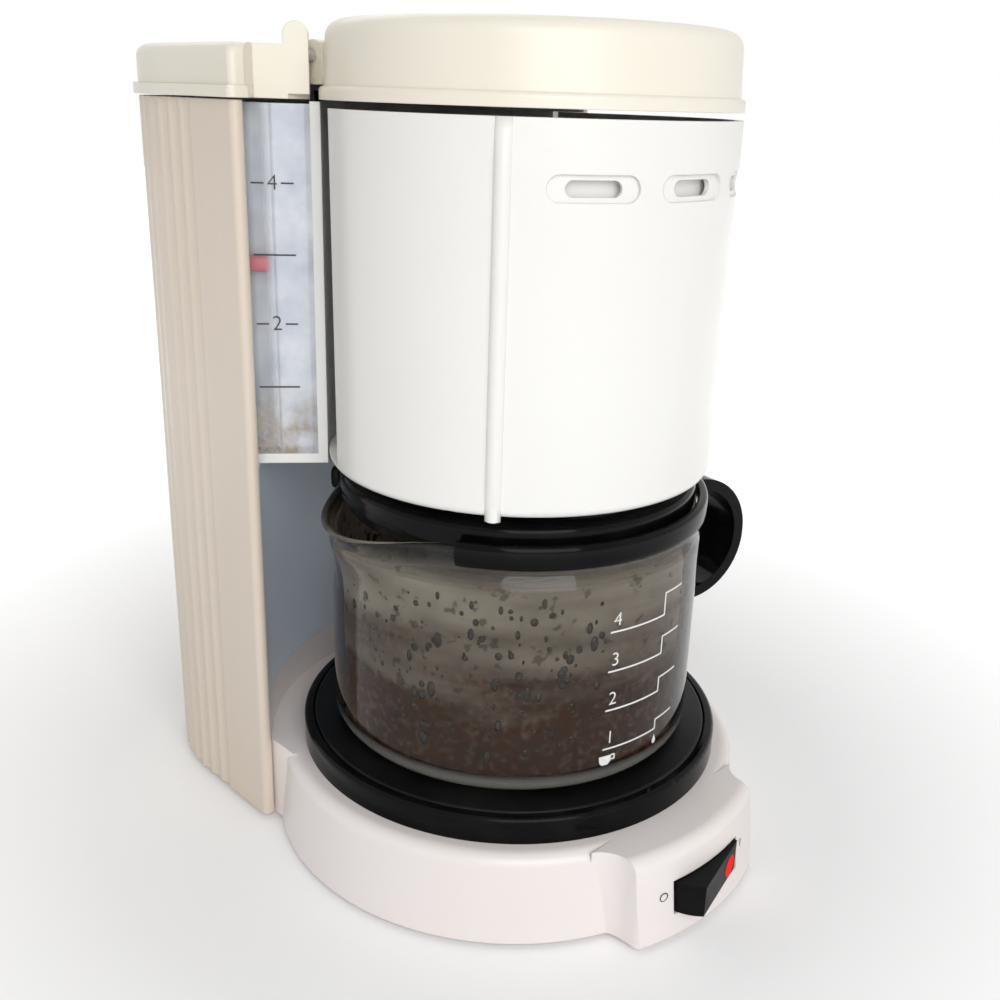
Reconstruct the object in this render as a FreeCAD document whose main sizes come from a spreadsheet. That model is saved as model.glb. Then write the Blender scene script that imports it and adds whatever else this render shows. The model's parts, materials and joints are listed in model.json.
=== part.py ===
import FreeCAD, Part
import math
import os
import re
import Sketcher

# A small drip coffee maker with a swing-out filter drum, in millimetres.
# Every piece is drawn round the brew axis, which is the Z axis: the front of the machine faces -Y and
# the water tower stands at +Y. The finished machine is then moved so that the origin lies under the
# middle of its box, on the table. Plan angles are measured from +X, anticlockwise.

SIZES = {
    # Round base with the switch pod at the front
    "base_radius": 77.5,
    "base_top_radius": 75.5,
    "base_height": 27.9,
    "base_edge": 4.0,
    "base_wall": 2.5,
    "pod_radius": 87.2,
    "pod_top_radius": 84.6,
    "pod_half_width": 28.4,
    "pod_blend": 10.0,
    "pod_round": 5.0,
    "pod_root": 50.0,
    "neck_front": 30.0,
    "collar_height": 40.0,
    "bay_radius": 80.0,
    "bay_wall": 2.5,
    "bottom_plate_thickness": 2.0,
    "bottom_plate_lift": 0.5,
    "foot_radius": 7.0,
    "foot_height": 1.5,
    "foot_x": 48.0,
    "foot_front_y": 44.0,
    "foot_rear_y": 100.0,
    "boss_radius": 4.0,
    "boss_front_x": 32.0,
    "boss_front_y": 62.0,
    "boss_rear_reach": 47.0,
    "screw_radius": 1.5,
    "screw_head_radius": 3.0,
    "screw_head_height": 1.2,
    "screw_length": 12.0,
    # Warming plate and its heater
    "ring_radius": 68.9,
    "ring_top": 36.2,
    "ring_edge": 1.5,
    "plate_radius": 65.6,
    "plate_top": 36.5,
    "plate_thickness": 1.5,
    "plate_edge": 1.0,
    "plate_skirt": 4.5,
    "plate_gap": 0.4,
    "ledge_width": 3.5,
    "heater_inner": 36.0,
    "heater_outer": 50.0,
    "heater_depth": 7.5,
    "heater_sweep": 300.0,
    "stub_radius": 3.0,
    "stub_fit": 0.1,
    "stub_length": 5.5,
    "thermostat_radius": 9.0,
    "fuse_radius": 2.2,
    "fuse_length": 16.0,
    "fuse_x": 22.0,
    "strap_half_length": 54.0,
    "strap_width": 12.0,
    "strap_thickness": 1.5,
    # Tower
    "tower_half_width": 72.0,
    "tower_corner": 56.0,
    "tower_back": 134.0,
    "tower_front": 41.0,
    "tower_top": 226.0,
    "tower_foot": 0.8,
    "shell_wall": 3.2,
    "nose_thickness": 4.2,
    "nose_round": 2.0,
    "nose_end": 52.0,
    "flute_start": 64.0,
    "flute_pitch": 6.2,
    "flute_cut_radius": 6.0,
    "flute_depth": 0.6,
    "core_gap": 0.3,
    # Water tank, gauge and float
    "tank_floor": 121.0,
    "tank_wall": 2.2,
    "recess_radius": 59.2,
    "wing_angle": 37.0,
    "chamfer_angle": 37.7,
    "tip_step": 4.0,
    "gauge_margin": 0.8,
    "gauge_width": 21.8,
    "gauge_depth": 10.0,
    "gauge_wall": 1.6,
    "gauge_bottom": 124.0,
    "gauge_lid_gap": 1.2,
    "float_slot": 8.8,
    "float_gap": 0.4,
    "float_height": 5.0,
    "float_middle": 181.0,
    "hose_y": 102.0,
    "hose_level": 14.0,
    "hose_radius": 5.0,
    "hose_bend": 7.5,
    "hose_lap": 4.5,
    "riser_radius": 4.2,
    "riser_cross_y": 68.0,
    "riser_lift": 0.2,
    "grommet_radius": 7.0,
    "grommet_height": 5.0,
    "valve_radius": 9.0,
    "valve_bottom": 74.0,
    "valve_top": 98.0,
    "gland_radius": 8.0,
    "gland_reach": 3.0,
    "gland_bore": 3.4,
    "gland_height": 16.0,
    # Tank lid
    "lid_gap": 0.5,
    "lid_height": 14.0,
    "lid_wall": 2.2,
    "lid_edge": 3.5,
    "lid_bead": 1.5,
    "lid_bead_height": 3.2,
    "lid_front_radius": 62.5,
    "lid_notch_y": 50.0,
    "ear_inner": 45.8,
    "ear_outer": 54.0,
    "ear_radius": 4.2,
    "ear_width": 7.0,
    "ear_offset": 2.8,
    "ear_pivot_y": 41.1,
    "ear_pivot_lift": 11.5,
    "ear_pin_radius": 1.6,
    "ear_pin_grip": 4.0,
    "ear_pin_reach": 4.5,
    "ear_depth": 5.0,
    "ear_rise": 6.0,
    "lid_tip_relief": 1.3,
    "lid_nose_blend": 6.0,
    "boss_depth": 6.3,
    "boss_gap": 0.4,
    # Brew head
    "head_radius": 58.2,
    "head_top_radius": 57.6,
    "head_gap": 0.6,
    "head_height": 20.4,
    "head_edge": 4.5,
    "head_wall": 2.5,
    "head_bead": 1.3,
    "head_bead_height": 3.6,
    "head_boss_lift": 3.9,
    "head_plate_thickness": 2.0,
    "head_plate_lift": 0.3,
    "bridge_half_width": 24.0,
    "bridge_reach": 71.0,
    "bridge_drop": 14.0,
    "bridge_leg": 2.5,
    "shower_radius": 15.0,
    "shower_drop": 1.4,
    "shower_hole_radius": 1.2,
    "shower_hole_ring": 9.0,
    # Swing-out drum
    "drum_top_radius": 59.5,
    "drum_bottom_radius": 58.8,
    "drum_clearance": 3.6,
    "drum_sink": 1.4,
    "drum_wall": 2.4,
    "drum_edge": 2.2,
    "drum_floor": 2.6,
    "drum_drain": 9.0,
    "drum_open_from": 35.0,
    "drum_open_sweep": 125.0,
    "rib_radius": 1.8,
    "rib_angle": -142.0,
    "rib_drop": 1.0,
    "slot_drop": 16.1,
    "slot_height": 4.0,
    "slot_width": 14.5,
    "slot_recess_width": 24.0,
    "slot_recess_depth": 1.1,
    "slot_recess_rim": 1.3,
    "slot_step": 30.0,
    "hinge_radius": 70.0,
    "hinge_angle": 31.0,
    "hinge_pin_radius": 1.5,
    "hinge_bore_gap": 0.3,
    "knuckle_radius": 4.5,
    "knuckle_lift": 12.0,
    "knuckle_drop": 26.6,
    "knuckle_height": 10.0,
    "lug_thickness": 4.5,
    "lug_gap": 0.4,
    "arm_width": 6.5,
    "bracket_plate": 2.0,
    "bracket_width": 14.0,
    "catch_drop": 26.6,
    "catch_height": 5.0,
    "catch_width": 5.0,
    # Filter holder, basket and drip stop
    "holder_radius": 55.5,
    "holder_wall": 2.0,
    "holder_skirt": 7.0,
    "holder_floor": 2.5,
    "holder_sink": 3.8,
    "drain_radius": 4.0,
    "basket_rim": 1.6,
    "basket_top_radius": 52.6,
    "basket_foot_radius": 40.0,
    "basket_wall": 1.8,
    "basket_lift": 6.5,
    "basket_hole_radius": 2.0,
    "plunger_radius": 3.2,
    "plunger_knob": 6.5,
    "plunger_knob_height": 4.0,
    "plunger_clearance": 0.5,
    "seal_radius": 7.0,
    "seal_height": 2.4,
    "spring_radius": 5.4,
    "spring_wall": 0.9,
    "fit_gap": 0.3,
    # Carafe
    "glass_radius": 58.6,
    "glass_wall": 2.2,
    "glass_base": 4.0,
    "glass_corner": 5.0,
    "glass_lift": 0.3,
    "shoulder_height": 6.0,
    "rim_height": 6.0,
    "neck_radius": 56.4,
    "glass_rim": 113.0,
    "spout_angle": 170.0,
    "spout_middle": 53.5,
    "spout_height": 21.0,
    "spout_foot_radius": 4.0,
    "spout_rim_radius": 13.5,
    "band_drop": 4.5,
    "band_stand": 2.8,
    "band_radius": 59.3,
    "band_gap": 0.2,
    "band_opening": 76.0,
    "handle_angle": -14.0,
    "handle_width": 26.0,
    "handle_reach": 86.5,
    "handle_grip": 4.0,
    "handle_rise": 0.5,
    "handle_height": 44.0,
    "handle_foot": 61.5,
    "handle_root": 4.0,
    "handle_top_round": 21.5,
    "handle_foot_round": 21.5,
    "carafe_lid_radius": 55.8,
    "carafe_lid_height": 6.8,
    "carafe_lid_dish": 2.6,
    "carafe_lid_wall": 2.0,
    "carafe_lid_plug": 53.4,
    "carafe_lid_plug_depth": 4.0,
    "carafe_lid_hole": 8.0,
    # Switch
    "switch_middle": 12.5,
    "switch_inset": 6.7,
    "rocker_radius": 15.2,
    "rocker_height": 10.2,
    "rocker_front": 8.4,
    "rocker_back": 5.0,
    "rocker_tilt": 15.0,
    "rocker_gap": 0.4,
    "rocker_pin_radius": 1.5,
    "rocker_pin_reach": 1.6,
    "switch_wall": 1.6,
    "switch_depth": 16.0,
    "lens_radius": 3.4,
    "lens_depth": 1.6,
    "lens_stand": 0.4,
    "lens_offset": 10.0,
    "lens_drop": 1.2,
}

# Sizes that follow from others: each piece is placed from the one it sits on, with a named clearance
DERIVED = {
    "shoulder_end": "glass_rim - rim_height",
    "shoulder_start": "shoulder_end - shoulder_height",
    "spout_foot": "glass_rim - spout_height",
    "band_bottom": "glass_rim - band_drop",
    "band_top": "glass_rim + band_stand",
    "handle_top": "band_bottom + handle_rise",
    "handle_bottom": "handle_top - handle_height",
    "carafe_lid_top": "glass_rim + carafe_lid_height",
    "plunger_tip": "carafe_lid_top + plunger_clearance",
    "drum_bottom": "carafe_lid_top + drum_clearance",
    "drum_top": "tower_top - drum_sink",
    "slot_middle": "drum_top - slot_drop",
    "knuckle_low": "drum_bottom + drum_floor + knuckle_lift",
    "knuckle_high": "drum_top - knuckle_drop",
    "catch_level": "drum_top - catch_drop",
    "holder_top": "drum_top - holder_sink",
    "basket_floor": "drum_bottom + drum_floor + holder_skirt + holder_floor + basket_lift",
    "lid_bottom": "tower_top + lid_gap",
    "lid_top": "lid_bottom + lid_height",
    "ear_pivot_z": "lid_bottom + ear_pivot_lift",
    "head_bottom": "tower_top + head_gap",
    "head_top": "head_bottom + head_height",
    "head_boss_bottom": "head_bottom + head_boss_lift",
    "riser_level": "head_bottom + head_plate_lift + head_plate_thickness + riser_radius + riser_lift",
    "switch_pivot_y": "pod_radius - switch_inset",
}

doc = FreeCAD.newDocument("DripCoffeeMaker")
sheet = doc.addObject("Spreadsheet::Sheet", "Sizes")
for row, (alias, number) in enumerate(SIZES.items(), start=1):
    sheet.set(f"A{row}", alias)
    sheet.set(f"B{row}", str(number))
    sheet.setAlias(f"B{row}", alias)
doc.recompute()

nodes = []


# Helpers: names of the sheet in a text become references to its cells

def reference(word):
    if word[0] in DERIVED:
        return f"({link(DERIVED[word[0]])})"
    return f"Sizes.{word[0]}" if word[0] in SIZES else word[0]


def link(text):
    return re.sub(r"[a-z_]+", reference, str(text))


def value(text):
    return float(sheet.evalExpression(link(text)))


def bind(item, **settings):
    for setting, text in settings.items():
        item.setExpression(setting, link(text))


def place(item, x="0", y="0", z="0", turn=None):
    item.setExpression("Placement.Base.x", link(x))
    item.setExpression("Placement.Base.y", link(y))
    item.setExpression("Placement.Base.z", link(z))
    if turn is not None:
        item.setExpression("Placement.Rotation.Angle", link(turn))
    return item


def node(item, label):
    item.Label = label
    nodes.append(item)
    return item


def cylinder(name, radius, bottom, top, x="0", y="0", sweep="360", turn=None):
    item = doc.addObject("Part::Cylinder", name)
    bind(item, Radius=radius, Height=f"({top}) - ({bottom})", Angle=sweep)
    return place(item, x, y, bottom, turn)


def cone(name, low_radius, high_radius, bottom, top, x="0", y="0"):
    item = doc.addObject("Part::Cone", name)
    bind(item, Radius1=low_radius, Radius2=high_radius, Height=f"({top}) - ({bottom})")
    return place(item, x, y, bottom)


def block(name, x, y, z):
    item = doc.addObject("Part::Box", name)
    bind(item, Length=f"({x[1]}) - ({x[0]})", Width=f"({y[1]}) - ({y[0]})", Height=f"({z[1]}) - ({z[0]})")
    return place(item, x[0], y[0], z[0])


def turned_block(name, start, turn, along, across, z):
    """A box whose length runs from start in the plan direction turn; along and across are its reaches."""
    item = doc.addObject("Part::Box", name)
    bind(item, Length=f"({along[1]}) - ({along[0]})", Width=f"({across[1]}) - ({across[0]})",
         Height=f"({z[1]}) - ({z[0]})")
    x = f"({start[0]}) + ({along[0]}) * cos({turn}) - ({across[0]}) * sin({turn})"
    y = f"({start[1]}) + ({along[0]}) * sin({turn}) + ({across[0]}) * cos({turn})"
    return place(item, x, y, z[0], turn)


def fuse(name, *items):
    item = doc.addObject("Part::MultiFuse", name)
    item.Shapes = list(items)
    return item


def cut(name, base, *tools):
    item = doc.addObject("Part::Cut", name)
    item.Base = base
    item.Tool = tools[0] if len(tools) == 1 else fuse(name + "_tools", *tools)
    return item


def common(name, base, tool):
    item = doc.addObject("Part::Common", name)
    item.Base = base
    item.Tool = tool
    return item


def group(name, *items):
    item = doc.addObject("Part::Compound", name)
    item.Links = list(items)
    return item


def sketch_on(body, name, role, offset="0"):
    sketch = body.newObject("Sketcher::SketchObject", name)
    plane = next(feature for feature in body.Origin.OriginFeatures if feature.Role == role)
    sketch.AttachmentSupport = [(plane, "")]
    sketch.MapMode = "FlatFace"
    sketch.setExpression("AttachmentOffset.Base.z", link(offset))
    return sketch


def draw(sketch, corners):
    """Closed outline. A corner is (x, y), followed by a straight run, or (x, y, radius, side), followed
    by an arc whose centre lies on that side of the run."""
    spots = [FreeCAD.Vector(value(corner[0]), value(corner[1]), 0) for corner in corners]
    starts = []
    ends = []
    for corner, here, there in zip(corners, spots, spots[1:] + spots[:1]):
        if len(corner) == 2:
            line = sketch.addGeometry(Part.LineSegment(here, there), False)
            starts.append((line, 1))
            ends.append((line, 2))
            continue
        radius = value(corner[2])
        chord = there - here
        across = FreeCAD.Vector(-chord.y, chord.x, 0).normalize()
        reach = math.sqrt(max(radius ** 2 - (chord.Length / 2) ** 2, 0))
        left = corner[3] == "left"
        centre = (here + there) * 0.5 + across * (reach if left else -reach)
        first, last = (here, there) if left else (there, here)
        angles = [math.atan2(spot.y - centre.y, spot.x - centre.x) for spot in (first, last)]
        circle = Part.Circle(centre, FreeCAD.Vector(0, 0, 1), radius)
        arc = sketch.addGeometry(Part.ArcOfCircle(circle, *angles), False)
        starts.append((arc, 1 if left else 2))
        ends.append((arc, 2 if left else 1))
        size = sketch.addConstraint(Sketcher.Constraint("Radius", arc, radius))
        sketch.setExpression(f"Constraints[{size}]", link(corner[2]))
    for corner, spot, start, end in zip(corners, spots, starts, ends[-1:] + ends[:-1]):
        sketch.addConstraint(Sketcher.Constraint("Coincident", *end, *start))
        for kind, text, reach in (("DistanceX", corner[0], spot.x), ("DistanceY", corner[1], spot.y)):
            size = sketch.addConstraint(Sketcher.Constraint(kind, -1, 1, *start, reach))
            sketch.setExpression(f"Constraints[{size}]", link(text))


def revolved(name, corners, sweep="360", turn=None):
    body = doc.addObject("PartDesign::Body", name)
    sketch = sketch_on(body, name + "_profile", "XZ_Plane")
    draw(sketch, corners)
    feature = body.newObject("PartDesign::Revolution", name + "_turn")
    feature.Profile = sketch
    feature.ReferenceAxis = (sketch, ["V_Axis"])
    bind(feature, Angle=sweep)
    if turn is not None:
        body.setExpression("Placement.Rotation.Angle", link(turn))
    return body


def padded(name, corners, bottom, top):
    body = doc.addObject("PartDesign::Body", name)
    sketch = sketch_on(body, name + "_outline", "XY_Plane", bottom)
    draw(sketch, corners)
    feature = body.newObject("PartDesign::Pad", name + "_pad")
    feature.Profile = sketch
    bind(feature, Length=f"({top}) - ({bottom})")
    return body


def pipe(name, route, radius, bore, bend):
    """A tube along straight runs joined by tangent arcs."""
    spots = [FreeCAD.Vector(*[value(text) for text in spot]) for spot in route]
    turn_radius = value(bend)
    edges = []
    here = spots[0]
    for before, corner, after in zip(spots, spots[1:], spots[2:]):
        come = (corner - before).normalize()
        go = (after - corner).normalize()
        half = come.getAngle(go) / 2
        setback = turn_radius * math.tan(half)
        enter = corner - come * setback
        leave = corner + go * setback
        inward = (go - come).normalize()
        middle = corner + inward * (turn_radius / math.cos(half) - turn_radius)
        edges.append(Part.LineSegment(here, enter).toShape())
        edges.append(Part.Arc(enter, middle, leave).toShape())
        here = leave
    edges.append(Part.LineSegment(here, spots[-1]).toShape())
    path = Part.Wire(edges)
    heading = spots[1] - spots[0]
    walls = []
    for size in (radius, bore):
        ring = Part.Wire([Part.makeCircle(value(size), spots[0], heading)])
        walls.append(path.makePipeShell([ring], True, False))
    item = doc.addObject("Part::Feature", name)
    item.Shape = walls[0].cut(walls[1])
    return item


# Shared expressions

BASE_INNER = "base_radius - base_wall"
CORE_SIDE = "tower_half_width - shell_wall - core_gap"
CORE_FRONT_SIDE = "tower_half_width - nose_thickness - core_gap"
CORNER_X = "tower_half_width - tower_corner"
CORNER_Y = "tower_back - tower_corner"
TIP_X = "recess_radius * cos(wing_angle)"
TIP_Y = "recess_radius * sin(wing_angle)"
CHAMFER_Y = f"{TIP_Y} + ({CORE_FRONT_SIDE} - {TIP_X}) * tan(chamfer_angle)"
PLATE_UNDER = "plate_top - plate_thickness"
DRUM_FLOOR_TOP = "drum_bottom + drum_floor"
HOLDER_FLOOR = f"{DRUM_FLOOR_TOP} + holder_skirt"
HOLDER_FLOOR_TOP = f"{HOLDER_FLOOR} + holder_floor"
GLASS_BOTTOM = "plate_top + glass_lift"
GLASS_INNER = "glass_radius - glass_wall"
GLASS_FLOOR = f"{GLASS_BOTTOM} + glass_base"
HINGE_X = "hinge_radius * cos(hinge_angle)"
HINGE_Y = "hinge_radius * sin(hinge_angle)"
STUB_X = "(heater_inner + heater_outer) / 2 * sin(180 - heater_sweep / 2)"
STUB_Y = "(heater_inner + heater_outer) / 2 * cos(180 - heater_sweep / 2)"
HEATER_BOTTOM = f"{PLATE_UNDER} - heater_depth"
HEAD_PLATE_BOTTOM = "head_bottom + head_plate_lift"
HEAD_PLATE_TOP = f"{HEAD_PLATE_BOTTOM} + head_plate_thickness"


def core_outline(inset):
    """Plan of what stands inside the tower shell, up to the noses, closed straight across at the front."""
    side = f"{CORE_SIDE} - ({inset})"
    front_side = f"{CORE_FRONT_SIDE} - ({inset})"
    back = f"tower_back - shell_wall - core_gap - ({inset})"
    bend = f"tower_corner - shell_wall - core_gap - ({inset})"
    step = f"nose_end + core_gap + ({inset})"
    return [
        (f"-({front_side})", "neck_front"),
        (f"-({front_side})", step),
        (f"-({side})", step),
        (f"-({side})", CORNER_Y, bend, "right"),
        (f"-({CORNER_X})", back),
        (CORNER_X, back, bend, "right"),
        (side, CORNER_Y),
        (side, step),
        (front_side, step),
        (front_side, "neck_front"),
    ]


def rod(name, radius, start, end, axis):
    """A round bar along X or Y, from start to its end on that axis."""
    item = doc.addObject("Part::Cylinder", name)
    turn_axis, turn, index = {"x": ((0, 1, 0), 90, 0), "y": ((1, 0, 0), -90, 1)}[axis]
    item.Placement = FreeCAD.Placement(FreeCAD.Vector(), FreeCAD.Rotation(FreeCAD.Vector(*turn_axis), turn))
    bind(item, Radius=radius, Height=f"({end}) - ({start[index]})")
    return place(item, *start)


def rounded(body, name, radius, picks):
    """A fillet on the edges of the body's last feature that picks accepts."""
    doc.recompute()
    base = body.Tip
    edges = [f"Edge{i}" for i, edge in enumerate(base.Shape.Edges, start=1) if picks(edge)]
    feature = body.newObject("PartDesign::Fillet", name)
    feature.Base = (base, edges)
    bind(feature, Radius=radius)
    return body


def level(edge, height):
    return all(abs(vertex.Z - height) < 0.01 for vertex in edge.Vertexes)


# Round base, its bottom plate, feet and screws

def base_round(name, inset, bottom, top, edge):
    low = f"base_radius - ({inset})"
    high = f"base_top_radius - ({inset})"
    return revolved(name, [
        ("0", bottom),
        (low, bottom),
        (high, f"{top} - ({edge})", edge, "left"),
        (f"{high} - ({edge})", top),
        ("0", top),
    ])


def pod_plan(inset):
    """Plan of the pod: it leaves the round base in a hollow curve and ends in rounded front corners."""
    half = f"(pod_half_width - ({inset}))"
    corner = f"(pod_round - ({inset}))"
    blend = f"(pod_blend + ({inset}))"
    middle_x = "(pod_half_width + pod_blend)"
    middle_y = f"sqrt((base_top_radius + pod_blend)^2 - {middle_x}^2)"
    share = f"(base_top_radius - ({inset})) / (base_top_radius + pod_blend)"
    flat = f"({half} - {corner})"
    front = "(pod_radius + 1)"
    front_y = f"sqrt({front}^2 - {flat}^2)"
    return [
        (f"-{middle_x} * {share}", f"-{middle_y} * {share}", blend, "right"),
        (f"-{half}", f"-{middle_y}"),
        (f"-{half}", f"{corner} - {front_y}", corner, "left"),
        (f"-{flat}", f"-{front_y}", front, "left"),
        (flat, f"-{front_y}", corner, "left"),
        (half, f"{corner} - {front_y}"),
        (half, f"-{middle_y}", blend, "right"),
        (f"{middle_x} * {share}", f"-{middle_y} * {share}"),
    ]


def base_pod(name, inset, bottom, top, edge):
    low = f"pod_radius - ({inset})"
    high = f"pod_top_radius - ({inset})"
    turned = revolved(name + "_front", [
        ("pod_root", bottom),
        (low, bottom),
        (high, f"{top} - ({edge})", edge, "left"),
        (f"{high} - ({edge})", top),
        ("pod_root", top),
    ])
    plan = padded(name + "_plan", pod_plan(inset), bottom, top)
    return common(name, plan, turned)


def screw_spots():
    reach = "boss_rear_reach * sqrt(0.5)"
    rear_x = f"{CORNER_X} + {reach}"
    rear_y = f"{CORNER_Y} + {reach}"
    return [(f"{side} * ({x})", y) for side in (-1, 1)
            for x, y in (("boss_front_x", "-boss_front_y"), (rear_x, rear_y))]


def base_shell():
    outer = fuse(
        "base_outside",
        base_round("base_round", "0", "0", "base_height", "base_edge"),
        base_pod("base_pod", "0", "0", "base_height", "base_edge"),
        cut("base_neck", padded("base_neck_block", core_outline("0"), "0", "collar_height"),
            cylinder("bay_clearance", "bay_radius", "base_height", "collar_height + 1")),
    )
    inner_top = "base_height - base_wall"
    hollow = fuse(
        "base_inside",
        base_round("base_hollow", "base_wall", "-1", inner_top, "base_edge - base_wall"),
        base_pod("pod_hollow", "base_wall", "-1", inner_top, "base_edge - base_wall"),
        cut("neck_hollow", padded("neck_hollow_block", core_outline("base_wall"), "-1", "collar_height + 1"),
            cylinder("bay_backing", "bay_radius + bay_wall", inner_top, "collar_height + 2")),
    )
    plate_hole = cylinder("plate_hole", "plate_radius - 1", "base_height / 2", "base_height + 1")
    half = "rocker_radius + rocker_gap"
    reach = "(rocker_height / 2 + rocker_gap)"
    switch_hole = block("switch_hole", (f"-({half})", half), ("-pod_radius - 5", "-switch_pivot_y + 4"),
                        (f"switch_middle - {reach}", f"switch_middle + {reach}"))
    walls = cut("base_walls", outer, hollow, plate_hole, switch_hole)
    top = "base_height - base_wall + 0.5"
    bosses = []
    for index, (x, y) in enumerate(screw_spots()):
        post = cylinder(f"boss_{index}", "boss_radius", "bottom_plate_lift + bottom_plate_thickness", top, x, y)
        hole = cylinder(f"boss_hole_{index}", "screw_radius + stub_fit", "0", "screw_length + 2", x, y)
        bosses.append(cut(f"boss_post_{index}", post, hole))
    node(fuse("base_shell", walls, *bosses), "base_shell")
    return hollow


def bottom_plate(hollow):
    slab = block("plate_slab", ("-pod_radius * 2", "pod_radius * 2"), ("-pod_radius * 2", "pod_radius * 2"),
                 ("bottom_plate_lift", "bottom_plate_lift + bottom_plate_thickness"))
    blank = common("bottom_blank", hollow, slab)
    holes = [cylinder(f"plate_hole_{index}", "screw_radius + stub_fit", "-1", "bottom_plate_thickness + 2", x, y)
             for index, (x, y) in enumerate(screw_spots())]
    node(cut("bottom_plate", blank, *holes), "bottom_plate")


def feet():
    pads = []
    for index, (x, y) in enumerate(((-1, "-foot_front_y"), (1, "-foot_front_y"),
                                    (-1, "foot_rear_y"), (1, "foot_rear_y"))):
        pads.append(cone(f"foot_{index}", "foot_radius - 1", "foot_radius", "-foot_height", "bottom_plate_lift",
                         f"{x} * foot_x", y))
    node(group("feet", *pads), "feet")


def base_screws():
    screws = []
    for index, (x, y) in enumerate(screw_spots()):
        head = cylinder(f"screw_head_{index}", "screw_head_radius", "bottom_plate_lift - screw_head_height",
                        "bottom_plate_lift", x, y)
        shank = cylinder(f"screw_shank_{index}", "screw_radius", "bottom_plate_lift", "screw_length", x, y)
        screws.append(fuse(f"screw_{index}", head, shank))
    node(group("base_screws", *screws), "base_screws")


# Warming plate, the ring round it and the heater under it

def plate_ring():
    bore = "plate_radius + plate_gap"
    ledge = "plate_top - plate_skirt"
    node(revolved("plate_ring", [
        (f"{bore} - ledge_width", "base_height - base_wall"),
        ("plate_radius - 1", "base_height - base_wall"),
        ("plate_radius - 1", "base_height"),
        ("ring_radius", "base_height"),
        ("ring_radius", "ring_top - ring_edge", "ring_edge", "left"),
        ("ring_radius - ring_edge", "ring_top"),
        (bore, "ring_top"),
        (bore, ledge),
        (f"{bore} - ledge_width", ledge),
    ]), "plate_ring")


def hot_plate():
    node(revolved("hot_plate", [
        ("0", PLATE_UNDER),
        ("plate_radius - plate_thickness", PLATE_UNDER),
        ("plate_radius - plate_thickness", "plate_top - plate_skirt"),
        ("plate_radius", "plate_top - plate_skirt"),
        ("plate_radius", "plate_top - plate_edge", "plate_edge", "left"),
        ("plate_radius - plate_edge", "plate_top"),
        ("0", "plate_top"),
    ]), "hot_plate")


def heater():
    tube = revolved("heater_ring", [
        ("heater_inner", PLATE_UNDER),
        ("heater_inner", f"{HEATER_BOTTOM} + plate_edge", "plate_edge", "left"),
        ("heater_inner + plate_edge", HEATER_BOTTOM),
        ("heater_outer - plate_edge", HEATER_BOTTOM, "plate_edge", "left"),
        ("heater_outer", f"{HEATER_BOTTOM} + plate_edge"),
        ("heater_outer", PLATE_UNDER),
    ], sweep="heater_sweep", turn="-90")
    tube.Tip.Midplane = True
    stubs = [cylinder(f"heater_stub_{side}", "stub_radius", f"{HEATER_BOTTOM} - stub_length", PLATE_UNDER,
                      f"{side} * ({STUB_X})", STUB_Y) for side in (-1, 1)]
    node(fuse("heater_tube", tube, *stubs), "heater_tube")
    node(group("heater_strap", block(
        "heater_strap_bar", ("-strap_half_length", "strap_half_length"), ("-strap_width / 2", "strap_width / 2"),
        (f"{HEATER_BOTTOM} - strap_thickness", HEATER_BOTTOM))), "heater_strap")
    node(group("thermostat", cylinder("thermostat_can", "thermostat_radius", HEATER_BOTTOM, PLATE_UNDER)),
         "thermostat")
    fuses = []
    for side in (-1, 1):
        start = (f"{side} * fuse_x", "-fuse_length / 2", f"{PLATE_UNDER} - fuse_radius - fit_gap")
        fuses.append(rod(f"fuse_{side}", "fuse_radius", start, "fuse_length / 2", "y"))
    node(group("thermal_fuses", *fuses), "thermal_fuses")


# Hoses between tank, heater and brew head

def hoses():
    inlet = f"-({STUB_X})"
    below = f"{HEATER_BOTTOM} - stub_length + hose_lap"
    lower = pipe("inlet_hose_low", [
        (inlet, STUB_Y, below),
        (inlet, STUB_Y, "hose_level"),
        (inlet, "hose_y", "hose_level"),
        (inlet, "hose_y", "valve_bottom"),
    ], "hose_radius", "stub_radius + stub_fit", "hose_bend")
    upper = cut("inlet_hose_high",
                cylinder("hose_outside", "hose_radius", "valve_top", "tank_floor", inlet, "hose_y"),
                cylinder("hose_bore", "stub_radius", "valve_top - 1", "tank_floor + 1", inlet, "hose_y"))
    node(group("inlet_hose", lower, upper), "inlet_hose")
    body = cylinder("valve_body", "valve_radius", "valve_bottom", "valve_top", inlet, "hose_y")
    bore = cylinder("valve_bore", "stub_radius", "valve_bottom - 1", "valve_top + 1", inlet, "hose_y")
    node(cut("check_valve", body, bore), "check_valve")
    node(pipe("riser_tube", [
        (STUB_X, STUB_Y, below),
        (STUB_X, STUB_Y, "hose_level"),
        (STUB_X, "riser_cross_y", "hose_level"),
        ("0", "hose_y", "hose_level"),
        ("0", "hose_y", "riser_level"),
        ("0", "shower_radius", "riser_level"),
    ], "riser_radius", "stub_radius + stub_fit", "hose_bend"), "riser_tube")
    ring = fuse("grommet_solid",
                cylinder("grommet_flange", "grommet_radius", "tank_floor + tank_wall",
                         "tank_floor + grommet_height", "0", "hose_y"),
                cylinder("grommet_spigot", "grommet_radius - 1", "tank_floor", "tank_floor + tank_wall",
                         "0", "hose_y"))
    node(cut("riser_grommet", ring,
             cylinder("grommet_bore", "riser_radius + stub_fit", "tank_floor - 1",
                      "tank_floor + grommet_height + 1", "0", "hose_y")), "riser_grommet")


# Tower: fluted shell, bay panel, water tank, gauge and cord gland

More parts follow.
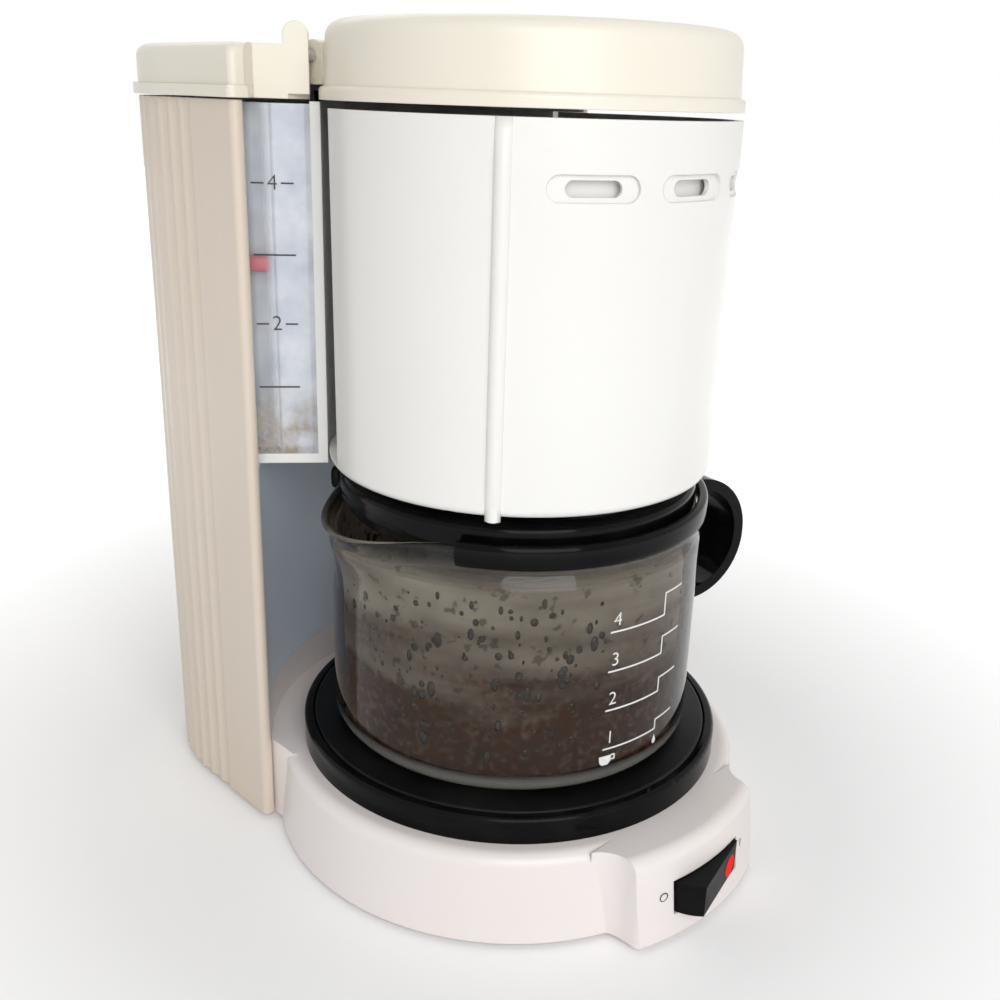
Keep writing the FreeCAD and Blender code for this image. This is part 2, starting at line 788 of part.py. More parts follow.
def flutes():
    """Upright round-bottomed flutes round the back of the tower, all at one pitch."""
    out = "flute_cut_radius - flute_depth"
    spots = []
    straight = int((value(CORNER_Y) - value("flute_start")) // value("flute_pitch")) + 1
    for index in range(straight):
        spots.append((f"tower_half_width + {out}", f"{CORNER_Y} - {index} * flute_pitch"))
    pitch_angle = "(flute_pitch / tower_corner * 180 / pi)"
    bends = int(math.pi / 2 * value("tower_corner") // value("flute_pitch"))
    for index in range(1, bends + 1):
        reach = f"(tower_corner + {out})"
        spots.append((f"{CORNER_X} + {reach} * cos({index} * {pitch_angle})",
                      f"{CORNER_Y} + {reach} * sin({index} * {pitch_angle})"))
    flat = int(value(CORNER_X) // value("flute_pitch"))
    for index in range(flat):
        spots.append((f"({index} + 0.5) * flute_pitch", f"tower_back + {out}"))
    cutters = []
    for index, (x, y) in enumerate(spots):
        for side in (-1, 1):
            cutters.append(cylinder(f"flute_{index}", "flute_cut_radius", "tower_foot - 1", "tower_top + 1",
                                    f"{side} * ({x})", y))
    return cutters


def tower_shell():
    nose_inner = "tower_half_width - nose_thickness"
    inner = "tower_half_width - shell_wall"
    right = [
        ("tower_half_width", "tower_front + nose_round", "nose_round", "right"),
        ("tower_half_width - nose_round", "tower_front"),
        (f"{nose_inner} + nose_round", "tower_front", "nose_round", "right"),
        (nose_inner, "tower_front + nose_round"),
        (nose_inner, "nose_end"),
        (inner, "nose_end"),
        (inner, CORNER_Y, "tower_corner - shell_wall", "left"),
        (CORNER_X, "tower_back - shell_wall"),
    ]
    left = [
        (f"-({CORNER_X})", "tower_back - shell_wall", "tower_corner - shell_wall", "left"),
        (f"-({inner})", CORNER_Y),
        (f"-({inner})", "nose_end"),
        (f"-({nose_inner})", "nose_end"),
        (f"-({nose_inner})", "tower_front + nose_round", "nose_round", "right"),
        (f"-({nose_inner} + nose_round)", "tower_front"),
        ("nose_round - tower_half_width", "tower_front", "nose_round", "right"),
        ("-tower_half_width", "tower_front + nose_round"),
    ]
    back = [
        ("-tower_half_width", CORNER_Y, "tower_corner", "right"),
        (f"-({CORNER_X})", "tower_back"),
        (CORNER_X, "tower_back", "tower_corner", "right"),
        ("tower_half_width", CORNER_Y),
    ]
    wall = padded("tower_wall", back + right + left, "tower_foot", "tower_top")
    start = ("0", "tower_back - shell_wall - 1", "gland_height")
    gland_hole = rod("gland_hole", "gland_radius - 1.5", start, "tower_back + 1", "y")
    node(cut("tower_shell", wall, gland_hole, *flutes()), "tower_shell")


def cord_gland():
    flange = rod("gland_flange", "gland_radius", ("0", "tower_back", "gland_height"), "tower_back + gland_reach", "y")
    spigot = rod("gland_spigot", "gland_radius - 1.5", ("0", "tower_back - shell_wall", "gland_height"),
                 "tower_back", "y")
    bore = rod("gland_hollow", "gland_bore", ("0", "tower_back - shell_wall - 1", "gland_height"),
               "tower_back + gland_reach + 1", "y")
    node(cut("cord_gland", fuse("gland_solid", flange, spigot), bore), "cord_gland")


def bay_panel():
    ring = cut("bay_ring", cylinder("bay_outside", "bay_radius + bay_wall", "collar_height", "tank_floor"),
               cylinder("bay_inside", "bay_radius", "collar_height - 1", "tank_floor + 1"))
    node(common("bay_panel", ring, padded("bay_limit", core_outline("0"), "collar_height", "tank_floor")),
         "bay_panel")


def tank_outline(wall, tip_turn):
    """Plan of the water tank: the shell's inside, two chamfered wings and the drum recess between them."""
    side = f"{CORE_SIDE} - ({wall})"
    front_side = f"{CORE_FRONT_SIDE} - ({wall})"
    back = f"tower_back - shell_wall - core_gap - ({wall})"
    bend = f"tower_corner - shell_wall - core_gap - ({wall})"
    step = f"nose_end + core_gap + ({wall})"
    recess = f"recess_radius + ({wall})"
    tip_x = f"({recess}) * cos(wing_angle + {tip_turn})"
    tip_y = f"({recess}) * sin(wing_angle + {tip_turn})"
    chamfer = f"{TIP_Y} + ({front_side} - {TIP_X}) * tan(chamfer_angle) + ({wall}) / cos(chamfer_angle)"
    return [
        (f"-({side})", step),
        (f"-({side})", CORNER_Y, bend, "right"),
        (f"-({CORNER_X})", back),
        (CORNER_X, back, bend, "right"),
        (side, CORNER_Y),
        (side, step),
        (front_side, step),
        (front_side, chamfer),
        (tip_x, tip_y, recess, "left"),
        (f"-({tip_x})", tip_y),
        (f"-({front_side})", chamfer),
        (f"-({front_side})", step),
    ]


GAUGE_START = (f"-({CORE_FRONT_SIDE})", CHAMFER_Y)
GAUGE_TURN = "-chamfer_angle"
GAUGE_TOP = "lid_bottom - gauge_lid_gap"


def water_tank():
    outside = padded("tank_outside", tank_outline("0", "0"), "tank_floor", "tower_top")
    inside = padded("tank_inside", tank_outline("tank_wall", "tip_step"), "tank_floor + tank_wall", "tower_top + 1")
    window = turned_block("gauge_opening", GAUGE_START, GAUGE_TURN,
                          ("gauge_margin", "gauge_margin + gauge_width"), ("-1", "gauge_depth"),
                          ("gauge_bottom", "tower_top + 1"))
    outlet = cylinder("tank_outlet", "stub_radius", "tank_floor - 1", "tank_floor + 5", f"-({STUB_X})", "hose_y")
    passage = cylinder("riser_passage", "grommet_radius - 1", "tank_floor - 1", "tank_floor + 5", "0", "hose_y")
    node(cut("water_tank", outside, inside, window, outlet, passage), "water_tank")


def gauge():
    ends = ("gauge_margin", "gauge_margin + gauge_width")
    chamber = turned_block("gauge_block", GAUGE_START, GAUGE_TURN, ends, ("0", "gauge_depth"),
                           ("gauge_bottom", GAUGE_TOP))
    slot_start = "gauge_margin + gauge_wall"
    slot_end = f"{slot_start} + float_slot"
    depth = ("gauge_wall", "gauge_depth - gauge_wall")
    height = ("gauge_bottom + gauge_wall", "tower_top + 1")
    float_slot = turned_block("float_channel", GAUGE_START, GAUGE_TURN, (slot_start, slot_end), depth, height)
    sight_slot = turned_block("sight_channel", GAUGE_START, GAUGE_TURN,
                              (f"{slot_end} + gauge_wall / 2", f"{ends[1]} - gauge_wall"), depth, height)
    node(cut("gauge_window", chamber, float_slot, sight_slot), "gauge_window")
    half = "float_height / 2"
    bob = turned_block("float_block", GAUGE_START, GAUGE_TURN,
                       (f"{slot_start} + float_gap", f"{slot_end} - float_gap"),
                       ("gauge_wall + float_gap", "gauge_depth - gauge_wall - float_gap"),
                       (f"float_middle - {half}", f"float_middle + {half}"))
    doc.recompute()
    rounded_bob = doc.addObject("Part::Fillet", "float_round")
    rounded_bob.Base = bob
    round_radius = value("float_height") / 3
    rounded_bob.Edges = [(index, round_radius, round_radius) for index in range(1, 13)]
    node(rounded_bob, "gauge_float")


# Tank lid with its two hinge ears

def lid_outline(grow):
    """Plan of the lid: the tower's outline at the sides and back, its chamfers at the front."""
    side = f"tower_half_width + ({grow})"
    back = f"tower_back + ({grow})"
    bend = f"tower_corner + ({grow})"
    inner_x = f"{CORE_FRONT_SIDE} - lid_nose_blend"
    inner_y = f"{TIP_Y} + ({inner_x} - {TIP_X}) * tan(chamfer_angle)"
    front = f"tower_front - ({grow})"
    return [
        (f"-({side})", f"{front} + nose_round"),
        (f"-({side})", CORNER_Y, bend, "right"),
        (f"-({CORNER_X})", back),
        (CORNER_X, back, bend, "right"),
        (side, CORNER_Y),
        (side, f"{front} + nose_round", "nose_round", "right"),
        (f"{side} - nose_round", front),
        (f"tower_half_width - nose_thickness", front),
        (inner_x, inner_y),
        (TIP_X, TIP_Y),
        (f"-({TIP_X})", TIP_Y),
        (f"-({inner_x})", inner_y),
        (f"nose_thickness - tower_half_width", front),
        (f"nose_round - ({side})", front, "nose_round", "right"),
    ]


def reach(side, near, far):
    """A stretch along X from near to far on one side of the machine, lowest end first."""
    return (near, far) if side > 0 else (f"-({far})", f"-({near})")


def lid_ear(side):
    """Upright hinge post with a round top, flush with the lid's chamfered front at the tip of a wing."""
    body = doc.addObject("PartDesign::Body", f"ear_{side}")
    sketch = sketch_on(body, f"ear_{side}_face", "XZ_Plane")
    top = "lid_top + ear_rise - ear_width / 2"
    near, far = reach(side, "ear_offset", "ear_offset + ear_width")
    draw(sketch, [
        (near, "lid_bottom"),
        (far, "lid_bottom"),
        (far, top, "ear_width / 2", "left"),
        (f"{side} * (ear_offset + ear_width / 2)", "lid_top + ear_rise", "ear_width / 2", "left"),
        (near, top),
    ])
    pad = body.newObject("PartDesign::Pad", f"ear_{side}_pad")
    pad.Profile = sketch
    pad.Reversed = True
    bind(pad, Length="ear_depth")
    return place(body, f"{side} * ({TIP_X})", TIP_Y, "0", f"{side} * chamfer_angle")


def tank_lid():
    cover = padded("lid_cover", lid_outline("0"), "lid_bottom", "lid_top")
    top = value("lid_top")
    behind = value("nose_end")
    rounded(cover, "lid_cover_round", "lid_edge",
            lambda edge: level(edge, top) and max(vertex.Y for vertex in edge.Vertexes) > behind
            and edge.BoundBox.YMin > value("tower_front"))
    bead = padded("lid_bead_band", lid_outline("lid_bead"), "lid_bottom", "lid_bottom + lid_bead_height")
    inner = "tower_half_width - lid_wall"
    slope = f"{TIP_Y} - {TIP_X} * tan(chamfer_angle) + lid_wall / cos(chamfer_angle)"
    at_side = f"{slope} + ({inner}) * tan(chamfer_angle)"
    at_ear = f"{slope} + ear_outer * tan(chamfer_angle)"
    right = [
        (inner, CORNER_Y),
        (inner, at_side),
        ("ear_outer", at_ear),
        ("ear_inner", at_ear),
        ("ear_inner", "0"),
    ]
    left = [(f"-({x})", y) for x, y in reversed(right)]
    hollow = padded("lid_hollow", left[:-1] + [
        (f"-({inner})", CORNER_Y, "tower_corner - lid_wall", "right"),
        (f"-({CORNER_X})", "tower_back - lid_wall"),
        (CORNER_X, "tower_back - lid_wall", "tower_corner - lid_wall", "right"),
    ] + right, "lid_bottom - 1", "lid_top - lid_wall")
    head_room = cylinder("lid_head_room", "lid_front_radius", "lid_bottom - 1", "lid_top + 10")
    notch = block("lid_notch", ("-ear_inner", "ear_inner"), ("0", "lid_notch_y"), ("lid_bottom - 1", "lid_top + 10"))
    relief = block("lid_relief", ("-ear_outer", "ear_outer"), ("0", "ear_pivot_y + fit_gap"),
                   ("lid_bottom - 1", "lid_bottom + lid_tip_relief"))
    pieces = [cut("lid_plate", fuse("lid_solid", cover, bead), hollow, head_room, notch)]
    pieces += [lid_ear(side) for side in (-1, 1)]
    pivot = ("ear_pivot_y", "ear_pivot_z")
    bores = []
    pins = []
    for side in (-1, 1):
        start, end = reach(side, "ear_inner - ear_pin_grip", "ear_inner + ear_pin_reach + fit_gap")
        bores.append(rod(f"ear_bore_{side}", "ear_pin_radius + fit_gap", (start, *pivot), end, "x"))
        start, end = reach(side, "ear_inner - ear_pin_grip", "ear_inner + ear_pin_reach")
        pins.append(rod(f"lid_pin_{side}", "ear_pin_radius", (start, *pivot), end, "x"))
    node(cut("tank_lid", fuse("lid_with_ears", *pieces), relief, *bores), "tank_lid")
    node(group("lid_hinge_pins", *pins), "lid_hinge_pins")


# Brew head over the drum

def head_cover():
    cap = revolved("head_cap", [
        ("head_radius - head_wall", "head_bottom"),
        ("head_radius + head_bead", "head_bottom"),
        ("head_radius + head_bead", "head_bottom + head_bead_height - head_bead", "head_bead", "left"),
        ("head_radius", "head_bottom + head_bead_height"),
        ("head_top_radius", "head_top - head_edge", "head_edge", "left"),
        ("head_top_radius - head_edge", "head_top"),
        ("0", "head_top"),
        ("0", "head_top - head_wall"),
        ("head_top_radius - head_edge", "head_top - head_wall", "head_edge - head_wall", "right"),
        ("head_top_radius - head_wall", "head_top - head_edge"),
    ])
    pieces = [cap]
    for side in (-1, 1):
        x = reach(side, "ear_inner - boss_depth", "ear_inner - boss_gap")
        pieces.append(block(f"head_boss_{side}", x, ("ear_pivot_y - ear_radius", "ear_pivot_y + ear_radius"),
                            ("head_boss_bottom", "ear_pivot_z")))
        pieces.append(rod(f"head_eye_{side}", "ear_radius", (x[0], "ear_pivot_y", "ear_pivot_z"), x[1], "x"))
    gap = "fit_gap"
    notch = block("head_notch", (f"-bridge_half_width - {gap}", f"bridge_half_width + {gap}"),
                  ("head_radius / 2", "head_radius * 1.5"),
                  ("head_bottom - 1", "riser_level + riser_radius + fit_gap"))
    ring = cut("head_inner_space", notch, cylinder("head_space", "head_radius - head_wall - 1",
                                                   "head_bottom - 2", "head_top"))
    bores = []
    for side in (-1, 1):
        start, end = reach(side, "ear_inner - ear_pin_grip", "ear_inner")
        bores.append(rod(f"boss_bore_{side}", "ear_pin_radius", (start, "ear_pivot_y", "ear_pivot_z"), end, "x"))
    node(cut("head_cover", fuse("head_with_bosses", *pieces), ring, *bores), "head_cover")


def head_plate():
    disc = cylinder("head_disc", "head_radius - head_wall - stub_fit", HEAD_PLATE_BOTTOM, HEAD_PLATE_TOP)
    half = ("-bridge_half_width", "bridge_half_width")
    bridge = block("head_bridge", half, ("head_radius * 0.8", "bridge_reach"), (HEAD_PLATE_BOTTOM, HEAD_PLATE_TOP))
    saddle = block("head_saddle", half, ("recess_radius - 6", "bridge_reach"), ("tower_top", HEAD_PLATE_BOTTOM))
    saddle_trim = cut("head_saddle_trim", saddle,
                      cylinder("saddle_room", "recess_radius", "tower_top - 1", "head_bottom + 3"))
    leg = block("head_leg", half, ("bridge_reach - bridge_leg", "bridge_reach"),
                ("tower_top - bridge_drop", "tower_top"))
    inlet = cylinder("head_inlet", "shower_hole_ring / 2", "head_bottom - 5", "head_top")
    node(cut("head_plate", fuse("head_plate_solid", disc, bridge, saddle_trim, leg), inlet), "head_plate")
    elbow_body = block("elbow_body", ("-riser_radius - 2", "riser_radius + 2"), ("-riser_radius - 3", "shower_radius"),
                       (HEAD_PLATE_TOP, "riser_level + riser_radius + 0.5"))
    down = cylinder("elbow_down", "stub_radius", "head_bottom", "riser_level")
    along = rod("elbow_along", "stub_radius", ("0", "0", "riser_level"), "shower_radius + 1", "y")
    node(cut("water_elbow", elbow_body, down, along), "water_elbow")
    rose = cylinder("rose_disc", "shower_radius", f"{HEAD_PLATE_BOTTOM} - shower_drop", HEAD_PLATE_BOTTOM)
    holes = []
    for index in range(8):
        holes.append(cylinder(f"rose_hole_{index}", "shower_hole_radius", "head_bottom - 5", "head_top",
                              f"shower_hole_ring * cos({index} * 45)", f"shower_hole_ring * sin({index} * 45)"))
    node(cut("shower_rose", rose, *holes), "shower_rose")


# Swing-out drum with filter holder, basket and drip stop

def long_hole(name, width, height, turn):
    """A bar with round ends, at the slots' level, that runs from the drum's axis out of its front."""
    body = doc.addObject("PartDesign::Body", name)
    sketch = sketch_on(body, name + "_face", "XZ_Plane")
    low = f"slot_middle - ({height}) / 2"
    high = f"slot_middle + ({height}) / 2"
    end = f"(({width}) - ({height})) / 2"
    bend = f"({height}) / 2"
    draw(sketch, [
        (f"-{end}", low),
        (end, low, bend, "left"),
        (f"({width}) / 2", "slot_middle", bend, "left"),
        (end, high),
        (f"-{end}", high, bend, "left"),
        (f"-({width}) / 2", "slot_middle", bend, "left"),
    ])
    pad = body.newObject("PartDesign::Pad", name + "_pad")
    pad.Profile = sketch
    bind(pad, Length="drum_top_radius * 2")
    body.setExpression("Placement.Rotation.Angle", link(turn))
    return body


def drum_shell():
    shell = revolved("drum_cup", [
        ("drum_drain", "drum_bottom"),
        ("drum_bottom_radius - drum_edge", "drum_bottom", "drum_edge", "left"),
        ("drum_bottom_radius", "drum_bottom + drum_edge"),
        ("drum_top_radius", "drum_top"),
        ("drum_top_radius - drum_wall", "drum_top"),
        ("drum_bottom_radius - drum_wall", DRUM_FLOOR_TOP),
        ("drum_drain", DRUM_FLOOR_TOP),
    ])
    rear = cylinder("drum_rear", "drum_top_radius * 1.5", DRUM_FLOOR_TOP, "drum_top + 1",
                    sweep="drum_open_sweep", turn="drum_open_from")
    slots = []
    for index in (-1, 0, 1):
        turn = f"{index} * slot_step"
        slots.append(long_hole(f"slot_{index}", "slot_width", "slot_height", turn))
        scoop = long_hole(f"slot_scoop_{index}", "slot_recess_width", "slot_height + 2 * slot_recess_rim", turn)
        core = cylinder(f"slot_core_{index}", "drum_top_radius - slot_recess_depth", "drum_bottom", "drum_top")
        slots.append(cut(f"slot_recess_{index}", scoop, core))
    rib = cylinder("drum_rib", "rib_radius", "drum_bottom - rib_drop", "drum_top",
                   "(drum_bottom_radius - drum_wall / 4) * cos(rib_angle)",
                   "(drum_bottom_radius - drum_wall / 4) * sin(rib_angle)")
    inner = cylinder("drum_core", "drum_bottom_radius - drum_wall", "drum_bottom - 5", "drum_top + 1")
    pieces = [cut("drum_walls", shell, rear, *slots), cut("drum_rib_outer", rib, inner)]
    for name, low in (("low", "knuckle_low"), ("high", "knuckle_high")):
        height = (low, f"{low} + knuckle_height")
        arm = turned_block(f"arm_{name}", ("0", "0"), "hinge_angle",
                           ("drum_bottom_radius - drum_wall", "hinge_radius"),
                           ("-arm_width / 2", "arm_width / 2"), height)
        eye = cylinder(f"knuckle_{name}", "knuckle_radius", *height, HINGE_X, HINGE_Y)
        inside = cylinder(f"arm_room_{name}", "drum_top_radius - drum_wall", *height)
        pieces.append(cut(f"hinge_arm_{name}", fuse(f"hinge_arm_{name}_solid", arm, eye), inside))
    bore = cylinder("knuckle_bore", "hinge_pin_radius + hinge_bore_gap", "drum_bottom", "drum_top", HINGE_X, HINGE_Y)
    node(cut("drum_shell", fuse("drum_solid", *pieces), bore), "drum_shell")


def drum_hinge():
    start = (TIP_X, TIP_Y)
    reach = f"({HINGE_X} - {TIP_X}) * cos(chamfer_angle) + ({HINGE_Y} - {TIP_Y}) * sin(chamfer_angle)"
    out = f"({HINGE_X} - {TIP_X}) * sin(chamfer_angle) - ({HINGE_Y} - {TIP_Y}) * cos(chamfer_angle)"
    along = (f"{reach} - bracket_width / 2", f"{reach} + bracket_width / 2")
    low = ("knuckle_low - lug_gap - lug_thickness", "knuckle_low - lug_gap")
    high = ("knuckle_high + knuckle_height + lug_gap", "knuckle_high + knuckle_height + lug_gap + lug_thickness")
    pieces = [turned_block("bracket_plate", start, "chamfer_angle", along, ("-bracket_plate", "0"), (low[0], high[1]))]
    for index, height in enumerate((low, high)):
        pieces.append(turned_block(f"lug_{index}", start, "chamfer_angle",
                                   (f"{reach} - knuckle_radius", f"{reach} + knuckle_radius"), (f"-({out})", "0"),
                                   height))
        pieces.append(cylinder(f"lug_eye_{index}", "knuckle_radius", *height, HINGE_X, HINGE_Y))
    bore = cylinder("lug_bore", "hinge_pin_radius", "drum_bottom", "drum_top", HINGE_X, HINGE_Y)
    node(cut("drum_hinge_bracket", fuse("bracket_solid", *pieces), bore), "drum_hinge_bracket")
    node(group("drum_hinge_pin", cylinder("hinge_pin", "hinge_pin_radius", low[0], high[1], HINGE_X, HINGE_Y)),
         "drum_hinge_pin")


def drum_catch():
    """Spring tongue on the drum's free edge, which snaps behind the tip of the left wing."""
    turn = "drum_open_from + drum_open_sweep"
    tongue = turned_block("catch_tongue", ("0", "0"), f"{turn} - 4",
                          ("holder_radius + fit_gap", "drum_top_radius - drum_wall"),
                          ("-catch_width * 1.5", "catch_width"),
                          ("catch_level - catch_height / 2", "catch_level + catch_height / 2"))
    room = cylinder("catch_room", "holder_radius + fit_gap", "drum_bottom", "drum_top")
    limit = cylinder("catch_limit", "drum_top_radius - drum_wall", "drum_bottom", "drum_top")
    blank = common("catch_blank", tongue, limit)
    node(cut("drum_catch", blank, room, doc.getObject("drum_cup")), "drum_catch")


def filter_holder():
    node(revolved("filter_holder", [
        ("holder_radius - holder_wall", DRUM_FLOOR_TOP),
        ("holder_radius", DRUM_FLOOR_TOP),
        ("holder_radius", "holder_top"),
        ("holder_radius - holder_wall", "holder_top"),
        ("holder_radius - holder_wall", HOLDER_FLOOR_TOP),
        ("drain_radius", HOLDER_FLOOR_TOP),
        ("drain_radius", HOLDER_FLOOR),
        ("holder_radius - holder_wall", HOLDER_FLOOR),
    ]), "filter_holder")


def filter_basket():
    cup = revolved("basket_cup", [
        ("0", "basket_floor"),
        ("basket_foot_radius", "basket_floor"),
        ("basket_top_radius", "holder_top"),
        ("holder_radius", "holder_top"),
        ("holder_radius", "holder_top + basket_rim"),
        ("basket_top_radius - basket_wall", "holder_top + basket_rim"),
        ("basket_foot_radius - basket_wall", "basket_floor + basket_wall"),
        ("0", "basket_floor + basket_wall"),
    ])
    holes = []
    for index in range(6):
        holes.append(cylinder(f"basket_hole_{index}", "basket_hole_radius", "basket_floor - 1", "basket_floor + 5",
                              f"basket_foot_radius / 2 * cos({index} * 60)",
                              f"basket_foot_radius / 2 * sin({index} * 60)"))
    node(cut("filter_basket", cup, *holes), "filter_basket")


def drip_stop():
    knob_top = "plunger_tip + plunger_knob_height"
    node(revolved("drip_plunger", [
        ("0", "plunger_tip"),
        ("plunger_knob - 1", "plunger_tip"),
        ("plunger_knob", "plunger_tip + 1"),
        ("plunger_knob", knob_top),
        ("plunger_radius", knob_top),
        ("plunger_radius", f"{HOLDER_FLOOR_TOP} + fit_gap + seal_height"),
        ("0", f"{HOLDER_FLOOR_TOP} + fit_gap + seal_height"),
    ]), "drip_plunger")
    node(revolved("valve_seal", [
        ("plunger_radius", f"{HOLDER_FLOOR_TOP} + fit_gap"),
        ("seal_radius", f"{HOLDER_FLOOR_TOP} + fit_gap"),
        ("seal_radius - 1", f"{HOLDER_FLOOR_TOP} + fit_gap + seal_height"),
        ("plunger_radius", f"{HOLDER_FLOOR_TOP} + fit_gap + seal_height"),
    ]), "valve_seal")
    node(revolved("valve_spring", [
        ("spring_radius - spring_wall", f"{knob_top} + fit_gap"),
        ("spring_radius", f"{knob_top} + fit_gap"),
        ("spring_radius", f"{HOLDER_FLOOR} - fit_gap"),
        ("spring_radius - spring_wall", f"{HOLDER_FLOOR} - fit_gap"),
    ]), "valve_spring")


# Carafe

def glass_profile(name, radius, neck, floor, corner, rim):
    return revolved(name, [
        ("0", floor),
        (f"{radius} - {corner}", floor, corner, "left"),
        (radius, f"{floor} + {corner}"),
        (radius, "shoulder_start"),
        (neck, "shoulder_end"),
        (neck, rim),
        ("0", rim),
    ])


def carafe_glass():
    spot = ("spout_middle * cos(spout_angle)", "spout_middle * sin(spout_angle)")
    slope = "(spout_rim_radius - spout_foot_radius) / (glass_rim - spout_foot)"
    outside = fuse("glass_outside",
                   glass_profile("glass_outer", "glass_radius", "neck_radius", GLASS_BOTTOM, "glass_corner",
                                 "glass_rim"),
                   cone("spout_outer", "spout_foot_radius", "spout_rim_radius", "spout_foot", "glass_rim", *spot))
    inside = fuse("glass_inside",
                  glass_profile("glass_inner", GLASS_INNER, "neck_radius - glass_wall", GLASS_FLOOR, "glass_corner",
                                "glass_rim + 1"),
                  cone("spout_inner", "spout_foot_radius - glass_wall", f"spout_rim_radius - glass_wall + {slope}",
                       "spout_foot", "glass_rim + 1", *spot))
    node(cut("carafe_glass", outside, inside), "carafe_glass")


def carafe_band():
    ring = revolved("band_ring", [
        ("neck_radius + band_gap", "band_bottom"),
        ("band_radius", "band_bottom"),
        ("band_radius", "band_top"),
        ("neck_radius + band_gap", "band_top"),
    ])
    mouth = cylinder("band_mouth", "band_radius * 1.2", "band_bottom - 1", "band_top + 1", sweep="band_opening",
                     turn="spout_angle - band_opening / 2")
    node(cut("carafe_band", ring, mouth), "carafe_band")


def carafe_handle():
    inner = "handle_reach - handle_grip"
    inner_top = "handle_top - handle_grip"
    inner_low = "handle_bottom + handle_grip"
    top_bend = "handle_reach - handle_top_round"
    foot_bend = "handle_reach - handle_foot_round"
    body = doc.addObject("PartDesign::Body", "handle_bow")
    sketch = sketch_on(body, "handle_profile", "XZ_Plane")
    draw(sketch, [
        ("neck_radius", inner_top),
        ("neck_radius", "band_top"),
        ("band_radius + handle_root", "band_top"),
        ("band_radius + handle_root", "handle_top"),
        (top_bend, "handle_top", "handle_top_round", "right"),
        ("handle_reach", "handle_top - handle_top_round"),
        ("handle_reach", "handle_bottom + handle_foot_round", "handle_foot_round", "right"),
        (foot_bend, "handle_bottom"),
        ("handle_foot", "handle_bottom"),
        ("handle_foot", inner_low),
        (foot_bend, inner_low, "handle_foot_round - handle_grip", "left"),
        (inner, "handle_bottom + handle_foot_round"),
        (inner, "handle_top - handle_top_round", "handle_top_round - handle_grip", "left"),
        (top_bend, inner_top),
    ])
    pad = body.newObject("PartDesign::Pad", "handle_pad")
    pad.Profile = sketch
    pad.SideType = "Symmetric"
    bind(pad, Length="handle_width")
    body.setExpression("Placement.Rotation.Angle", link("handle_angle"))
    room = cylinder("handle_room", "band_radius", "handle_bottom", "band_top + 1")
    node(cut("carafe_handle", body, room), "carafe_handle")


def carafe_lid():
    plug_low = "glass_rim - carafe_lid_plug_depth"
    under = "carafe_lid_top - carafe_lid_dish - carafe_lid_wall"
    dish = "carafe_lid_top - carafe_lid_dish"
    node(revolved("carafe_lid", [
        ("carafe_lid_hole", under),
        ("carafe_lid_plug - carafe_lid_wall", under),
        ("carafe_lid_plug - carafe_lid_wall", plug_low),
        ("carafe_lid_plug", plug_low),
        ("carafe_lid_plug", "glass_rim"),
        ("carafe_lid_radius", "glass_rim"),
        ("carafe_lid_radius", "carafe_lid_top - carafe_lid_wall", "carafe_lid_wall", "left"),
        ("carafe_lid_radius - carafe_lid_wall", "carafe_lid_top"),
        ("carafe_lid_plug - carafe_lid_wall * 2", "carafe_lid_top"),
        ("carafe_lid_plug - carafe_lid_wall * 3", dish),
        ("carafe_lid_hole", dish),
    ]), "carafe_lid")


# Rocker switch in the pod

def switch(hollow):
    half = "rocker_height / 2"
    low = f"switch_middle - {half}"
    high = f"switch_middle + {half}"
    pivot_y = "-switch_pivot_y"
    tilt = "tan(rocker_tilt)"
    disc = cylinder("rocker_disc", "rocker_radius", low, high, "0", pivot_y)
    wide = "rocker_radius * 1.2"
    wedge = padded("rocker_wedge", [
        (f"-{wide}", f"{pivot_y} - rocker_front - {wide} * {tilt}"),
        (wide, f"{pivot_y} - rocker_front + {wide} * {tilt}"),
        (wide, f"{pivot_y} + rocker_back"),
        (f"-{wide}", f"{pivot_y} + rocker_back"),
    ], low, high)
    pins = cylinder("rocker_pins", "rocker_pin_radius", f"{low} - rocker_pin_reach", f"{high} + rocker_pin_reach",
                    "0", pivot_y)
    turn = FreeCAD.Rotation(FreeCAD.Vector(0, 0, 1), value("rocker_tilt"))
    face_normal = turn.multVec(FreeCAD.Vector(0, -1, 0))
    lens_spot = FreeCAD.Vector(value("lens_offset"),
                               value(f"{pivot_y} - rocker_front + lens_offset * {tilt}"),
                               value("switch_middle - lens_drop"))
    seat = lens_spot - face_normal * value("lens_depth")
    lie = FreeCAD.Placement(seat, turn * FreeCAD.Rotation(FreeCAD.Vector(1, 0, 0), 90))
    hole = doc.addObject("Part::Cylinder", "lens_hole")
    bind(hole, Radius="lens_radius", Height="lens_depth * 3")
    hole.Placement = lie
    block_solid = fuse("rocker_solid", common("rocker_block", disc, wedge), pins)
    node(cut("switch_rocker", block_solid, hole), "switch_rocker")
    lens = revolved("rocker_lens", [
        ("0", "0"),
        ("lens_radius", "0"),
        ("lens_radius", "lens_depth"),
        ("0", "lens_depth + lens_stand"),
    ])
    lens.Placement = lie
    node(lens, "rocker_lens")
    gap = "rocker_gap"
    side = f"rocker_radius + {gap} + switch_wall"
    front = "-pod_radius"
    case = common("switch_case_blank", hollow,
                  block("switch_case_block", (f"-({side})", side), (front, f"{pivot_y} + switch_depth"),
                        (f"{low} - {gap} - switch_wall * 1.5", f"{high} + {gap} + switch_wall * 1.5")))
    room = block("switch_room", (f"-rocker_radius - {gap}", f"rocker_radius + {gap}"),
                 (front, f"{pivot_y} + switch_depth - switch_wall"), (f"{low} - {gap}", f"{high} + {gap}"))
    pin_room = cylinder("pin_room", f"rocker_pin_radius + fit_gap", f"{low} - rocker_pin_reach - fit_gap",
                        f"{high} + rocker_pin_reach + fit_gap", "0", pivot_y)
    node(cut("switch_case", case, room, pin_room), "switch_case")


